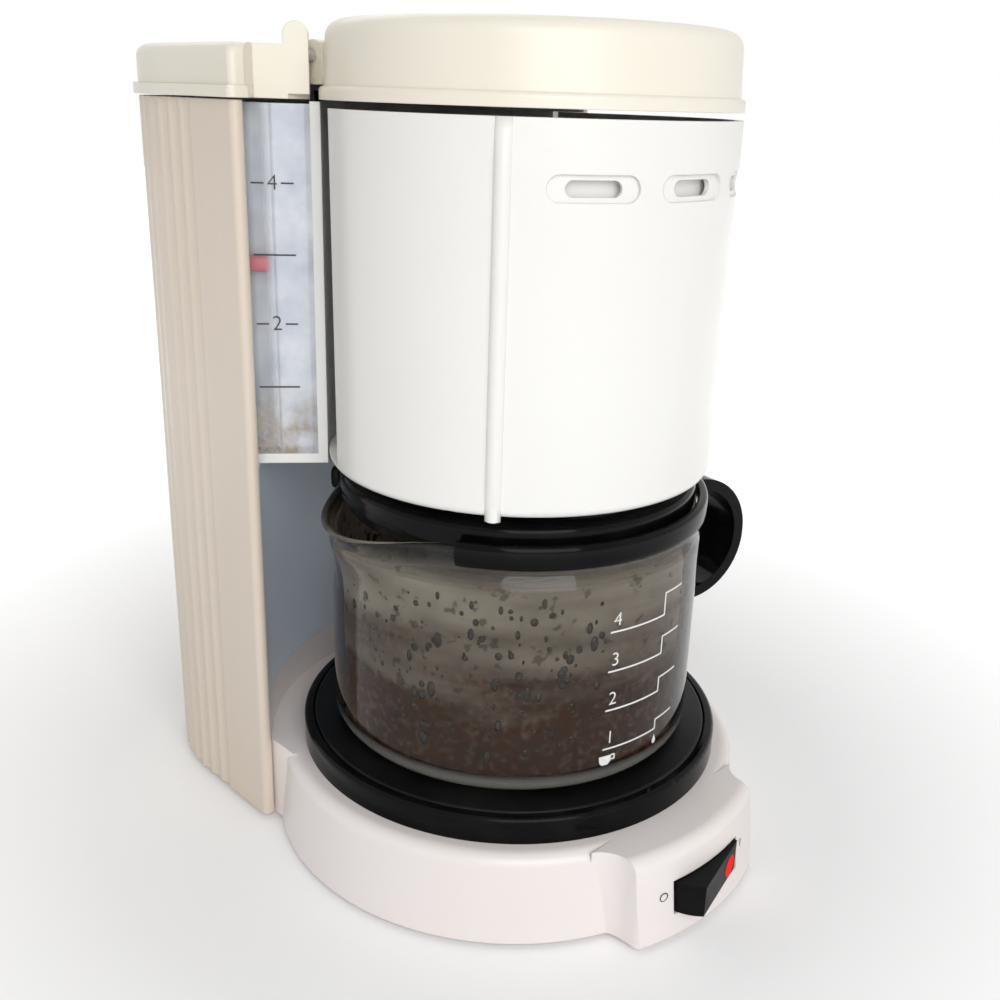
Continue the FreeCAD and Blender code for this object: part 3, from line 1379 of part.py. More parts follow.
hollow = base_shell()
bottom_plate(hollow)
feet()
base_screws()
plate_ring()
hot_plate()
heater()
hoses()
tower_shell()
cord_gland()
bay_panel()
water_tank()
gauge()
tank_lid()
head_cover()
head_plate()
drum_shell()
drum_hinge()
drum_catch()
filter_holder()
filter_basket()
drip_stop()
carafe_glass()
carafe_band()
carafe_handle()
carafe_lid()
switch(hollow)
doc.recompute()

# Stand the finished machine on the table with the middle of its box over the origin

whole = FreeCAD.BoundBox()
for item in nodes:
    whole.add(item.Shape.optimalBoundingBox(False, False))
shift = FreeCAD.Vector(-whole.Center.x, -whole.Center.y, -whole.ZMin)
for item in nodes:
    item.Placement = FreeCAD.Placement(shift, FreeCAD.Rotation()) * item.Placement

faults = [item.Name for item in doc.Objects if {"Invalid", "Error"} & set(item.State)]
for item in nodes:
    if item.Shape.isNull() or not item.Shape.isValid() or not item.Shape.Solids:
        faults.append(item.Label)
if faults:
    raise SystemExit("failed: " + ", ".join(faults))

os.makedirs("parts", exist_ok=True)
for item in nodes:
    item.Shape.exportStep(os.path.join("parts", item.Label + ".step"))
    print(item.Label, len(item.Shape.Solids), round(item.Shape.Volume, 1))
print("brew axis at", round(shift.x, 3), round(shift.y, 3), round(shift.z, 3))
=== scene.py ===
import json
import math
import random

import bpy
from mathutils import Matrix, Vector

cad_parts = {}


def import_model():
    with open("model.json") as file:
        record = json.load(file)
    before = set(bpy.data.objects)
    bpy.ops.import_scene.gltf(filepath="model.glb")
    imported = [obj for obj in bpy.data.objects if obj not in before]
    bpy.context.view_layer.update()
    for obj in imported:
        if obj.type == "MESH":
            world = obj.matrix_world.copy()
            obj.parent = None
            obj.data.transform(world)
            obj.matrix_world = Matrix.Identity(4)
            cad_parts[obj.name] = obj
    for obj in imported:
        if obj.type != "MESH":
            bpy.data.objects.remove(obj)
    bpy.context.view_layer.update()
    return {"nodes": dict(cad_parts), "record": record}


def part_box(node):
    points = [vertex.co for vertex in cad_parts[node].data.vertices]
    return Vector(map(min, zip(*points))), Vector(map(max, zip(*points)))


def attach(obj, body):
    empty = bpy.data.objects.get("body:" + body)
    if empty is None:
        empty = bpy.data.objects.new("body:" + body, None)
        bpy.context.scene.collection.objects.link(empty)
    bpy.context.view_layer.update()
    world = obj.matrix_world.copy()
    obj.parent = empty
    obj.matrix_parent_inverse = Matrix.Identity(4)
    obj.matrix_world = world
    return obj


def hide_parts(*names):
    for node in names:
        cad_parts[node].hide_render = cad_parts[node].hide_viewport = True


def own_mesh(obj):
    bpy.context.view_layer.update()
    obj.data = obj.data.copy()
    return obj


# Looks of a small drip coffee maker. Sizes are in millimetres in the machine's own frame: the brew axis is
# its Z axis, the front is -Y and z is 0 at the bottom of the base. Plan angles are measured from the front,
# positive towards the user's right.

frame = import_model()

MM = 0.001
plate_low, plate_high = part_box("hot_plate")
plate_middle = (plate_low + plate_high) / 2
AXIS = Vector((plate_middle.x, plate_middle.y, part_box("base_shell")[0].z))

# Sizes of the solids that the scene's own pieces follow

GLASS_RADIUS = 58.6
GLASS_NECK = 56.4
GLASS_WALL = 2.2
DRUM_FOOT_RADIUS = 58.8
DRUM_TOP_RADIUS = 59.5
POD_FOOT_RADIUS = 87.2
POD_TOP_RADIUS = 84.6
POD_WALL_HEIGHT = 23.9


def spot(x, y, z):
    """Place in metres of a point in the machine's own frame."""
    return AXIS + Vector((x, y, z)) * MM


def level(z):
    """Height in metres of a height in the machine's own frame."""
    return AXIS.z + z * MM


def around(angle, radius, z):
    """Place in metres of a point at that plan angle and distance from the brew axis."""
    turn = math.radians(angle - 90)
    return spot(radius * math.cos(turn), radius * math.sin(turn), z)


def size_of(node):
    """Lowest and highest corner of a node in the machine's own frame."""
    low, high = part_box(node)
    return (low - AXIS) / MM, (high - AXIS) / MM


# Camera, light and floor

CAMERA_SPOT = (-241.1, -233.6, 229.0)
CAMERA_HEADING = 45.0
CAMERA_PITCH = 19.89
CAMERA_ROLL = 1.84
SENSOR = 36.0
LENS = 40.18
NEAR_CLIP = 0.01


def camera():
    """Camera of the photograph, as solved from the machine's round edges."""
    heading = math.radians(CAMERA_HEADING)
    pitch = math.radians(CAMERA_PITCH)
    roll = math.radians(CAMERA_ROLL)
    right = Vector((math.cos(heading), -math.sin(heading), 0))
    ahead = Vector((math.sin(heading), math.cos(heading), 0))
    forward = ahead * math.cos(pitch) - Vector((0, 0, math.sin(pitch)))
    up = right.cross(forward)
    side = right * math.cos(roll) + up * math.sin(roll)
    top = up * math.cos(roll) - right * math.sin(roll)
    data = bpy.data.cameras.new("camera")
    data.sensor_width = SENSOR
    data.lens = LENS
    data.clip_start = NEAR_CLIP
    item = bpy.data.objects.new("camera", data)
    turn = Matrix((side, top, -forward)).transposed().to_4x4()
    item.matrix_world = Matrix.Translation(spot(*CAMERA_SPOT)) @ turn
    bpy.context.scene.collection.objects.link(item)
    bpy.context.scene.camera = item


def lamp(name, place, aim, size, power, colour=(1, 1, 1)):
    """Square soft box of that size in metres and power in watts."""
    data = bpy.data.lights.new(name, "AREA")
    data.size = size
    data.energy = power
    data.color = colour
    item = bpy.data.objects.new(name, data)
    item.location = spot(*place)
    item.rotation_euler = (spot(*aim) - item.location).to_track_quat("-Z", "Y").to_euler()
    bpy.context.scene.collection.objects.link(item)


def seen_rays(tree):
    """1 on rays that show the background: those of the camera, of reflections and through glass."""
    path = tree.nodes.new("ShaderNodeLightPath")
    total = path.outputs["Is Camera Ray"]
    for kind in ("Is Glossy Ray", "Is Transmission Ray"):
        larger = tree.nodes.new("ShaderNodeMath")
        larger.operation = "MAXIMUM"
        tree.links.new(total, larger.inputs[0])
        tree.links.new(path.outputs[kind], larger.inputs[1])
        total = larger.outputs[0]
    return total


FILL_LIGHT = 0.5


def world():
    """White where it is seen directly, in gloss or through glass, and a softer fill light elsewhere."""
    item = bpy.data.worlds.new("studio")
    bpy.context.scene.world = item
    item.use_nodes = True
    nodes = item.node_tree.nodes
    links = item.node_tree.links
    background = nodes["Background"]
    background.inputs["Color"].default_value = (1, 1, 1, 1)
    strength = nodes.new("ShaderNodeMapRange")
    strength.inputs["To Min"].default_value = FILL_LIGHT
    strength.inputs["To Max"].default_value = 1.0
    links.new(seen_rays(item.node_tree), strength.inputs["Value"])
    links.new(strength.outputs[0], background.inputs["Strength"])


FLOOR_HALF = 3.0


def floor():
    """Sheet of pale paper under the machine."""
    corners = [(x * FLOOR_HALF, y * FLOOR_HALF, 0) for x, y in ((-1, -1), (1, -1), (1, 1), (-1, 1))]
    mesh = bpy.data.meshes.new("floor")
    mesh.from_pydata(corners, [], [(0, 1, 2, 3)])
    item = bpy.data.objects.new("floor", mesh)
    bpy.context.scene.collection.objects.link(item)
    mesh.materials.append(floor_paper())


# Material helpers

class Shader:
    """A material with a Principled shader and short ways to add texture nodes to it."""

    def __init__(self, name, **settings):
        self.material = bpy.data.materials.new(name)
        self.material.use_nodes = True
        self.tree = self.material.node_tree
        self.main = self.tree.nodes["Principled BSDF"]
        self.place = self.tree.nodes.new("ShaderNodeTexCoord").outputs["Object"]
        for setting, amount in settings.items():
            self.main.inputs[setting.replace("_", " ")].default_value = amount

    def feed(self, socket, amount):
        """Links a socket to another node's output, or sets it to a plain amount."""
        if isinstance(amount, bpy.types.NodeSocket):
            self.tree.links.new(amount, socket)
        else:
            socket.default_value = amount

    def add(self, kind, **inputs):
        """New node with its inputs fed by name."""
        node = self.tree.nodes.new(kind)
        for name, amount in inputs.items():
            self.feed(node.inputs[name.replace("_", " ")], amount)
        return node

    def stretched(self, scale):
        """Object coordinates scaled by axis."""
        return self.add("ShaderNodeMapping", Vector=self.place, Scale=scale).outputs[0]

    def noise(self, scale, detail=3.0, place=None):
        """Noise from 0 to 1, with that many waves to the metre."""
        node = self.add("ShaderNodeTexNoise", Vector=place or self.place, Scale=scale, Detail=detail)
        return node.outputs["Fac"]

    def spread(self, source, low, high, to_low=0.0, to_high=1.0):
        """Maps the range from low to high on another range, and stays inside that."""
        node = self.add("ShaderNodeMapRange", Value=source, From_Min=low, From_Max=high, To_Min=to_low,
                        To_Max=to_high)
        return node.outputs[0]

    def mixed(self, share, first, second):
        """Blend of two colours, each a plain colour or another node's output."""
        node = self.tree.nodes.new("ShaderNodeMix")
        node.data_type = "RGBA"
        self.feed(node.inputs["Factor"], share)
        for name, colour in (("A", first), ("B", second)):
            self.feed(node.inputs[name], (*colour, 1) if isinstance(colour, tuple) else colour)
        return node.outputs["Result"]

    def calc(self, operation, first, second):
        """One sum, product or other operation on two amounts."""
        node = self.tree.nodes.new("ShaderNodeMath")
        node.operation = operation
        self.feed(node.inputs[0], first)
        self.feed(node.inputs[1], second)
        return node.outputs[0]

    def along(self, axis):
        """Object coordinate along X, Y or Z, in metres."""
        return self.add("ShaderNodeSeparateXYZ", Vector=self.place).outputs[axis]

    def plan_angle(self):
        """Plan angle round the brew axis in degrees."""
        across = self.calc("SUBTRACT", self.along("X"), AXIS.x)
        ahead = self.calc("SUBTRACT", AXIS.y, self.along("Y"))
        return self.calc("MULTIPLY", self.calc("ARCTAN2", across, ahead), math.degrees(1))

    def bump(self, source, strength, distance, edge=0.0):
        """Fine relief, over edges that shade as if rounded by that many metres."""
        node = self.add("ShaderNodeBump", Height=source, Strength=strength, Distance=distance)
        if edge > 0:
            self.feed(node.inputs["Normal"], self.add("ShaderNodeBevel", Radius=edge).outputs[0])
        self.set("Normal", node.outputs[0])

    def set(self, socket, source):
        """Links an input of the Principled shader to a texture."""
        self.tree.links.new(source, self.main.inputs[socket])


def darker(colour, share):
    return tuple(share * channel for channel in colour)


# Materials

EDGE_ROUND = 0.5 * MM
GRAIN_DEPTH = 0.2 * MM
PAPER_NEAR = 0.13
PAPER_FAR = 0.6


def floor_paper():
    """Pale paper that goes over into the white background away from the machine."""
    shade = Shader("floor_paper", Roughness=0.9, Specular_IOR_Level=0.0, Emission_Color=(1, 1, 1, 1))
    shade.set("Base Color", shade.mixed(shade.noise(6.0), (0.93, 0.93, 0.93), (0.95, 0.95, 0.95)))
    away = shade.add("ShaderNodeVectorMath", Vector=shade.place)
    away.operation = "LENGTH"
    share = shade.spread(away.outputs["Value"], PAPER_NEAR, PAPER_FAR, 0.06, 1.0)
    shade.set("Emission Strength", shade.calc("MULTIPLY", share, seen_rays(shade.tree)))
    return shade.material


def moulded(name, colour, aged, gloss=0.3):
    """Moulded plastic: faint clouds of yellowing, fine specks of dust and a slightly uneven shine.
    The roughness stays above about 0.27, because patches with hard edges showed where it crossed that."""
    shade = Shader(name, Coat_Weight=0.15, Coat_Roughness=0.12, Specular_IOR_Level=0.4)
    clouds = shade.spread(shade.noise(9.0, 2.0), 0.3, 0.8, 0.0, 0.6)
    streaks = shade.spread(shade.noise(40.0, 3.0, shade.stretched((1, 1, 0.12))), 0.5, 0.8, 0.0, 0.25)
    specks = shade.spread(shade.noise(900.0, 2.0), 0.74, 0.8, 0.0, 0.2)
    tone = shade.mixed(shade.calc("ADD", clouds, streaks), colour, aged)
    shade.set("Base Color", shade.mixed(specks, tone, darker(aged, 0.72)))
    shade.set("Roughness", shade.spread(shade.noise(60.0), 0.3, 0.7, gloss - 0.02, gloss + 0.05))
    shade.bump(shade.noise(1400.0, 2.0), 0.06, GRAIN_DEPTH, EDGE_ROUND)
    return shade.material


def black_gloss(name, rough):
    """Black plastic with fingerprints and dust that dull its shine in patches."""
    shade = Shader(name, Specular_IOR_Level=0.09)
    smears = shade.spread(shade.noise(55.0, 5.0), 0.45, 0.75)
    dust = shade.spread(shade.noise(1100.0, 2.0), 0.74, 0.8, 0.0, 0.4)
    tone = shade.mixed(smears, (0.0022, 0.0022, 0.0026), (0.006, 0.0056, 0.0052))
    shade.set("Base Color", shade.mixed(dust, tone, (0.04, 0.037, 0.034)))
    shade.set("Roughness", shade.spread(smears, 0.0, 1.0, rough, rough + 0.15))
    shade.bump(shade.noise(1600.0, 2.0), 0.05, GRAIN_DEPTH, EDGE_ROUND)
    return shade.material


def plate_enamel():
    """Coated steel plate, rubbed lighter where carafes have stood."""
    shade = Shader("plate_enamel", Specular_IOR_Level=0.15)
    rubbed = shade.spread(shade.noise(35.0, 6.0), 0.5, 0.8)
    shade.set("Base Color", shade.mixed(rubbed, (0.003, 0.003, 0.0033), (0.012, 0.0115, 0.011)))
    shade.set("Roughness", shade.spread(rubbed, 0.0, 1.0, 0.35, 0.55))
    shade.bump(shade.noise(500.0, 4.0), 0.1, 0.3 * MM)
    return shade.material


FOOT_TINT_FULL = 1.0
FOOT_TINT_ENDS = 7.0


def carafe_clear():
    """Clean outside of the glass, with faint smears and the olive tint of its thick foot."""
    shade = Shader("carafe_clear", IOR=1.3)
    smears = shade.spread(shade.noise(60.0, 4.0), 0.45, 0.8)
    tone = shade.mixed(smears, (0.97, 0.97, 0.95), (0.9, 0.89, 0.85))
    foot = size_of("carafe_glass")[0].z
    tint_full = level(foot + FOOT_TINT_FULL)
    thick = shade.spread(shade.along("Z"), tint_full, level(foot + FOOT_TINT_ENDS), 1.0, 0.0)
    shade.set("Base Color", shade.mixed(thick, tone, (0.36, 0.34, 0.28)))
    shade.set("Transmission Weight", shade.spread(thick, 0.0, 1.0, 1.0, 0.6))
    shade.set("Roughness", shade.spread(smears, 0.0, 1.0, 0.01, 0.06))
    return shade.material


# Plan angles between which the mist begins to clear, and those between which it closes again
WIPED_RIGHT = ((13.0, 17.0), (42.0, 50.0))
WIPED_LEFT = ((-122.0, -112.0), (-110.0, -108.0))
FILM_FOOT = 4.0
FILM_TOP = 62.0
MIST_FADES = 60.0
MIST_ENDS = 72.0


def wiped(shade, angle, opens, closes):
    """1 in an upright strip that has been wiped clear, with soft sides."""
    return shade.calc("MULTIPLY", shade.spread(angle, *opens), shade.spread(angle, *closes, 1.0, 0.0))


def carafe_mist():
    """Inside of the glass: grey mist above and brown coffee film below, in level bands, clear in two upright
    strips and at the rim."""
    shade = Shader("carafe_mist", IOR=1.2, Specular_IOR_Level=0.0)
    foot = size_of("carafe_glass")[0].z
    height = shade.along("Z")
    rise = shade.spread(height, level(foot + FILM_FOOT), level(foot + FILM_TOP))
    bands = shade.noise(38.0, 4.0, shade.stretched((0.35, 0.35, 2.2)))
    mixing = shade.calc("ADD", rise, shade.spread(bands, 0.3, 0.7, -0.28, 0.28))
    tone = shade.mixed(shade.spread(mixing, 0.45, 1.1), (0.05, 0.022, 0.011), (0.30, 0.27, 0.22))
    grain = shade.spread(shade.noise(420.0, 4.0), 0.5, 0.75, 0.0, 0.22)
    misted = shade.mixed(grain, tone, (0.34, 0.27, 0.21))
    beads = shade.spread(shade.noise(260.0, 3.0), 0.6, 0.66, 0.0, 0.6)
    shade.set("Base Color", shade.mixed(beads, misted, (0.03, 0.02, 0.015)))
    angle = shade.plan_angle()
    strips = shade.calc("MAXIMUM", wiped(shade, angle, *WIPED_RIGHT), wiped(shade, angle, *WIPED_LEFT))
    rim = shade.spread(height, level(foot + MIST_FADES), level(foot + MIST_ENDS))
    clear = shade.calc("MAXIMUM", strips, rim)
    patchy = shade.spread(shade.noise(90.0, 5.0), 0.35, 0.7, 0.2, 0.42)
    shade.set("Transmission Weight", shade.calc("MAXIMUM", patchy, clear))
    shade.set("Roughness", shade.spread(clear, 0.0, 1.0, 0.45, 0.05))
    return shade.material


def water_drops():
    """Drops that are darker than the mist behind them."""
    shade = Shader("water_drops", IOR=1.33, Transmission_Weight=0.6, Roughness=0.03)
    shade.set("Base Color", shade.mixed(shade.noise(300.0), (0.10, 0.08, 0.06), (0.02, 0.014, 0.01)))
    return shade.material


STAIN_FULL = 6.0
STAIN_ENDS = 22.0
RUBBED_SHARE = 0.3
UNRUBBED_SHARE = 0.38


def frosted():
    """Clear gauge moulding dulled by limescale, except where the float rubs it, with a stain at its foot."""
    shade = Shader("frosted_gauge", Specular_IOR_Level=0.5)
    low, high = size_of("gauge_window")
    scale_patches = shade.spread(shade.noise(70.0, 5.0), 0.35, 0.7)
    foot = shade.spread(shade.along("Z"), level(low.z + STAIN_FULL), level(low.z + STAIN_ENDS), 1.0, 0.0)
    stain = shade.calc("MULTIPLY", foot, shade.spread(shade.noise(220.0, 4.0), 0.35, 0.65))
    tone = shade.mixed(scale_patches, (0.84, 0.89, 1.0), (0.93, 0.96, 1.0))
    shade.set("Base Color", shade.mixed(stain, tone, (0.52, 0.43, 0.31)))
    shade.set("Roughness", shade.spread(scale_patches, 0.0, 1.0, 0.3, 0.45))
    left = AXIS.x + low.x * MM
    width = (high.x - low.x) * MM
    sides = (left + RUBBED_SHARE * width, left + UNRUBBED_SHARE * width)
    unrubbed = shade.spread(shade.along("X"), *sides, 0.2, 1.0)
    film = shade.calc("MULTIPLY", shade.spread(scale_patches, 0.0, 1.0, 0.45, 0.68), unrubbed)
    shade.set("Alpha", shade.calc("MAXIMUM", film, shade.calc("MULTIPLY", stain, 0.6)))
    return shade.material


def ink(name, colour):
    """Printing ink, a little worn."""
    shade = Shader(name, Roughness=0.5)
    worn = shade.spread(shade.noise(800.0, 3.0), 0.3, 0.8)
    shade.set("Base Color", shade.mixed(worn, colour, darker(colour, 0.85)))
    return shade.material


def red_lens():
    """Lens of the lamp in the rocker, which is lit."""
    shade = Shader("red_lens", Roughness=0.35, Specular_IOR_Level=0.0, Emission_Strength=0.6,
                   Emission_Color=(1.0, 0.03, 0.02, 1))
    shade.set("Base Color", shade.mixed(shade.noise(900.0, 2.0), (0.5, 0.01, 0.01), (0.6, 0.02, 0.015)))
    return shade.material


def metal(name, colour, rough):
    """Metal brushed along its height."""
    shade = Shader(name, Metallic=1.0)
    brushed = shade.noise(300.0, 3.0, shade.stretched((1, 1, 0.1)))
    shade.set("Base Color", shade.mixed(brushed, colour, darker(colour, 0.8)))
    shade.set("Roughness", shade.spread(brushed, 0.3, 0.7, rough, rough + 0.15))
    return shade.material


def soft_rubber(name, colour):
    """Dull rubber, silicone or woven sleeve with fine relief."""
    shade = Shader(name)
    patches = shade.noise(200.0, 3.0)
    shade.set("Base Color", shade.mixed(patches, colour, darker(colour, 0.8)))
    shade.set("Roughness", shade.spread(patches, 0.3, 0.7, 0.55, 0.75))
    shade.bump(shade.noise(1500.0, 2.0), 0.1, GRAIN_DEPTH)
    return shade.material


IVORY = (0.82, 0.815, 0.795)
IVORY_AGED = (0.78, 0.755, 0.70)
CREAM = (0.82, 0.785, 0.69)
CREAM_AGED = (0.77, 0.71, 0.58)
finishes = {
    "ivory_plastic": moulded("ivory_plastic", IVORY, IVORY_AGED),
    "cream_plastic": moulded("cream_plastic", CREAM, CREAM_AGED, 0.32),
    "white_plastic": moulded("white_plastic", (0.82, 0.82, 0.81), (0.77, 0.75, 0.71), 0.35),
    "black_plastic": black_gloss("black_plastic", 0.08),
    "black_matte": black_gloss("black_matte", 0.4),
    "plate_coating": plate_enamel(),
    "clear_plastic": frosted(),
    "glass": carafe_clear(),
    "red_plastic": moulded("red_plastic", (0.6, 0.012, 0.03), (0.5, 0.008, 0.025), 0.35),
    "red_lens": red_lens(),
    "steel": metal("steel", (0.62, 0.62, 0.62), 0.3),
    "aluminium": metal("aluminium", (0.70, 0.70, 0.71), 0.35),
    "silicone": soft_rubber("silicone", (0.80, 0.78, 0.73)),
    "rubber": soft_rubber("rubber", (0.04, 0.04, 0.04)),
    "ceramic_sleeve": soft_rubber("ceramic_sleeve", (0.82, 0.80, 0.75)),
}
own_finish = {
    # The bay wall gets a pale blue copy of the white plastic: painted bluish shade of the recess under the
    # drum.
    "bay_panel": moulded("bay_wall", (0.76, 0.85, 0.97), (0.70, 0.77, 0.86)),
    # The tower gets a darker, warmer copy of the ivory plastic: painted shade of its side turned away from
    # the light.
    "tower_shell": moulded("tower_plastic_painted_shade", (0.70, 0.615, 0.52), (0.65, 0.55, 0.44)),
    "base_shell": moulded("base_plastic", (0.84, 0.785, 0.77), (0.80, 0.73, 0.69)),
}
CREASE = 32.0


def finish_nodes():
    """Gives each CAD node its own finish or that of its slot, and smooth shading up to the crease angle."""
    for row in frame["record"]["subparts"]:
        mesh = frame["nodes"][row["node"]].data
        mesh.materials.clear()
        mesh.materials.append(own_finish.get(row["node"]) or finishes[row["material_slot"]])
        mesh.polygons.foreach_set("use_smooth", [True] * len(mesh.polygons))
        mesh.set_sharp_from_angle(angle=math.radians(CREASE))


# Piece helpers

def piece(name, points, faces, material, body, smooth=True):
    """New mesh object that moves with a body."""
    mesh = bpy.data.meshes.new(name)
    mesh.from_pydata(points, [], faces)
    mesh.validate()
    mesh.polygons.foreach_set("use_smooth", [smooth] * len(mesh.polygons))
    mesh.materials.append(material)
    item = bpy.data.objects.new(name, mesh)
    bpy.context.scene.collection.objects.link(item)
    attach(item, body)
    return item


def skin(rows, turns):
    """Faces over that many rows of points, each a closed ring of that many turns, with both ends closed."""
    faces = []
    for row in range(rows - 1):
        here, there = row * turns, (row + 1) * turns
        for turn in range(turns):
            after = (turn + 1) % turns
            faces.append((here + turn, here + after, there + after, there + turn))
    faces.append(tuple(reversed(range(turns))))
    faces.append(tuple(range((rows - 1) * turns, rows * turns)))
    return faces


# Flat artwork: a list of points and one of faces, with x along it, y up and z out of the surface

PRINT = 0.12
LETTER_THINNING = 0.012


def printed_text(text, size):
    """Text centred on its own middle."""
    curve = bpy.data.curves.new("printed", "FONT")
    curve.body = text
    curve.size = size
    curve.extrude = PRINT / 2
    curve.offset = -LETTER_THINNING * size
    curve.align_x = "CENTER"
    curve.align_y = "CENTER"
    holder = bpy.data.objects.new("printed", curve)
    bpy.context.scene.collection.objects.link(holder)
    bpy.context.view_layer.update()
    mesh = bpy.data.meshes.new_from_object(holder)
    points = [tuple(vertex.co) for vertex in mesh.vertices]
    faces = [tuple(polygon.vertices) for polygon in mesh.polygons]
    bpy.data.objects.remove(holder)
    bpy.data.curves.remove(curve)
    bpy.data.meshes.remove(mesh)
    return points, faces


def bar(length, width, steps=1):
    """A straight line, cut in steps so that it can follow a round wall."""
    points = []
    for index in range(steps + 1):
        along = length * (index / steps - 0.5)
        for across, out in ((-1, -1), (1, -1), (1, 1), (-1, 1)):
            points.append((along, across * width / 2, out * PRINT / 2))
    return points, skin(steps + 1, 4)


def patch(outline):
    """A filled outline, given counterclockwise."""
    return [(along, up, 0) for along, up in outline], [tuple(range(len(outline)))]


def collected(parts):
    """Joins several (points, faces, placing function) into one list of placed points and one of faces."""
    points = []
    faces = []
    for part_points, part_faces, placing in parts:
        first = len(points)
        points.extend(placing(*point) for point in part_points)
        faces.extend(tuple(first + index for index in face) for face in part_faces)
    return points, faces


def on_round(angle, radius, height):
    """Wraps artwork on a round wall at that plan angle and height."""
    def placing(along, up, out):
        return around(angle + math.degrees(along / radius), radius + out, height + up)
    return placing


# Printed marks

BAND_STANDS_OUT = 0.62
SCALE_LEFT = -17.4
SCALE_STEP = 3.4
SCALE_RIGHT = 12.4
SCALE_LINE = 0.5
SCALE_BENDS = 12
SCALE_NUMBER = 6.0
NUMBER_RIGHT = 2.2
NUMBER_UP = 3.6
# Height of each line, and its rise at the step
CUP_LEVELS = ((49.3, 3.2), (62.3, 4.6), (75.0, 5.6), (87.6, 7.0))
SYMBOL_HEIGHT = 45.6
CUP_RIGHT = 1.0
CUP_OUTLINE = ((-1.9, -0.8), (-1.0, -1.7), (1.0, -1.7), (1.9, -0.8), (2.2, 1.4), (-2.2, 1.4))
# Degrees right of the scale's left end, height over the symbols' middle, length and width of each bar
CUP_HANDLE = ((4.2, 0.5, 0.5, 1.7), (3.6, 1.3, 1.1, 0.45), (3.6, -0.2, 1.1, 0.45))
DROP_OUTLINE = ((0, 1.9), (-0.9, -0.1), (-0.8, -1.0), (0, -1.5), (0.8, -1.0), (0.9, -0.1))


def carafe_scale():
    """White cup marks: each line steps up near its right end, with its number over its left end. A cup and a
    drop stand below them."""
    radius = size_of("carafe_band")[1].x - BAND_STANDS_OUT
    surface = radius + PRINT / 2
    parts = []
    for number, (height, rise) in enumerate(CUP_LEVELS, start=1):
        for left, right, at in ((SCALE_LEFT, SCALE_STEP, height), (SCALE_STEP, SCALE_RIGHT, height + rise)):
            length = math.radians(right - left) * radius
            parts.append((*bar(length, SCALE_LINE, SCALE_BENDS), on_round((left + right) / 2, radius, at)))
        upright = bar(SCALE_LINE, rise + SCALE_LINE)
        parts.append((*upright, on_round(SCALE_STEP, radius, height + rise / 2)))
        figure = printed_text(str(number), SCALE_NUMBER)
        parts.append((*figure, on_round(SCALE_LEFT + NUMBER_RIGHT, radius, height + NUMBER_UP)))
    parts.append((*patch(CUP_OUTLINE), on_round(SCALE_LEFT + CUP_RIGHT, surface, SYMBOL_HEIGHT)))
    for right, up, length, width in CUP_HANDLE:
        parts.append((*bar(length, width), on_round(SCALE_LEFT + right, radius, SYMBOL_HEIGHT + up)))
    parts.append((*patch(DROP_OUTLINE), on_round(SCALE_STEP, surface, SYMBOL_HEIGHT)))
    points, faces = collected(parts)
    piece("carafe_scale", points, faces, ink("white_ink", (0.85, 0.85, 0.83)), "carafe", smooth=False)


GAUGE_SLANT = 37.7
GAUGE_NUMBERS = (("4", 204.0), ("2", 164.0))
GAUGE_LINES = (184.0, 145.0)
GAUGE_NUMBER = 6.2
GAUGE_LINE = 0.45
GAUGE_LINE_LENGTH = 12.0
GAUGE_DASH_LENGTH = 3.6
GAUGE_DASH_OFF = 4.2


def on_gauge(off, height):
    """Puts artwork on the gauge's slanting face, that far to the right of its middle line."""
    low, high = size_of("gauge_window")
    slant = math.radians(GAUGE_SLANT)
    along_way = Vector((math.cos(slant), -math.sin(slant)))
    out_way = Vector((-math.sin(slant), -math.cos(slant)))
    wide = high.x - low.x
    deep = high.y - low.y
    width = (wide * math.cos(slant) - deep * math.sin(slant)) / math.cos(2 * slant)
    left_end = Vector((low.x, low.y + width * math.sin(slant)))
    middle = left_end + along_way * (width / 2 + off)

    def placing(along, up, out):
        plan = middle + along_way * along + out_way * (out + PRINT / 2)
        return spot(plan.x, plan.y, height + up)
    return placing


def gauge_scale():
    """Grey marks of the water gauge: numbers between two dashes, and plain lines at the other levels."""
    parts = []
    for number, height in GAUGE_NUMBERS:
        parts.append((*printed_text(number, GAUGE_NUMBER), on_gauge(0, height)))
        for side in (-1, 1):
            parts.append((*bar(GAUGE_DASH_LENGTH, GAUGE_LINE), on_gauge(side * GAUGE_DASH_OFF, height)))
    for height in GAUGE_LINES:
        parts.append((*bar(GAUGE_LINE_LENGTH, GAUGE_LINE), on_gauge(0, height)))
    points, faces = collected(parts)
    piece("gauge_scale", points, faces, ink("grey_ink", (0.03, 0.03, 0.035)), "housing", smooth=False)


SWITCH_MARKS = (("O", -13.0), ("I", 12.6))
SWITCH_MARK_SIZE = 4.2
SWITCH_MARK_HEIGHT = 14.0


def switch_marks():
    """The O and I beside the rocker, on the pod's tapered wall."""
    share = SWITCH_MARK_HEIGHT / POD_WALL_HEIGHT
    radius = POD_FOOT_RADIUS + (POD_TOP_RADIUS - POD_FOOT_RADIUS) * share
    parts = []
    for text, angle in SWITCH_MARKS:
        parts.append((*printed_text(text, SWITCH_MARK_SIZE), on_round(angle, radius, SWITCH_MARK_HEIGHT)))
    points, faces = collected(parts)
    piece("switch_marks", points, faces, ink("black_ink", (0.02, 0.02, 0.02)), "housing", smooth=False)


# Carafe glass with a drawn-out pouring lip

GLASS_SHOULDER = 101.0
GLASS_NECK_LOW = 107.0
GLASS_CORNER = 5.0
GLASS_BASE = 4.0
GLASS_EDGE = 0.8
GLASS_CENTRE = 0.001
GLASS_TURNS = 144
CORNER_STEPS = 6
WALL_STEPS = 12
SHOULDER_STEPS = 6
NECK_STEPS = 4
EDGE_STEPS = 6
LIP_ANGLE = -100.0
LIP_HALF = 36.0
LIP_REACH = 10.0
LIP_DROOP = 3.2
LIP_START = 88.0
LIP_CURVE = 1.8


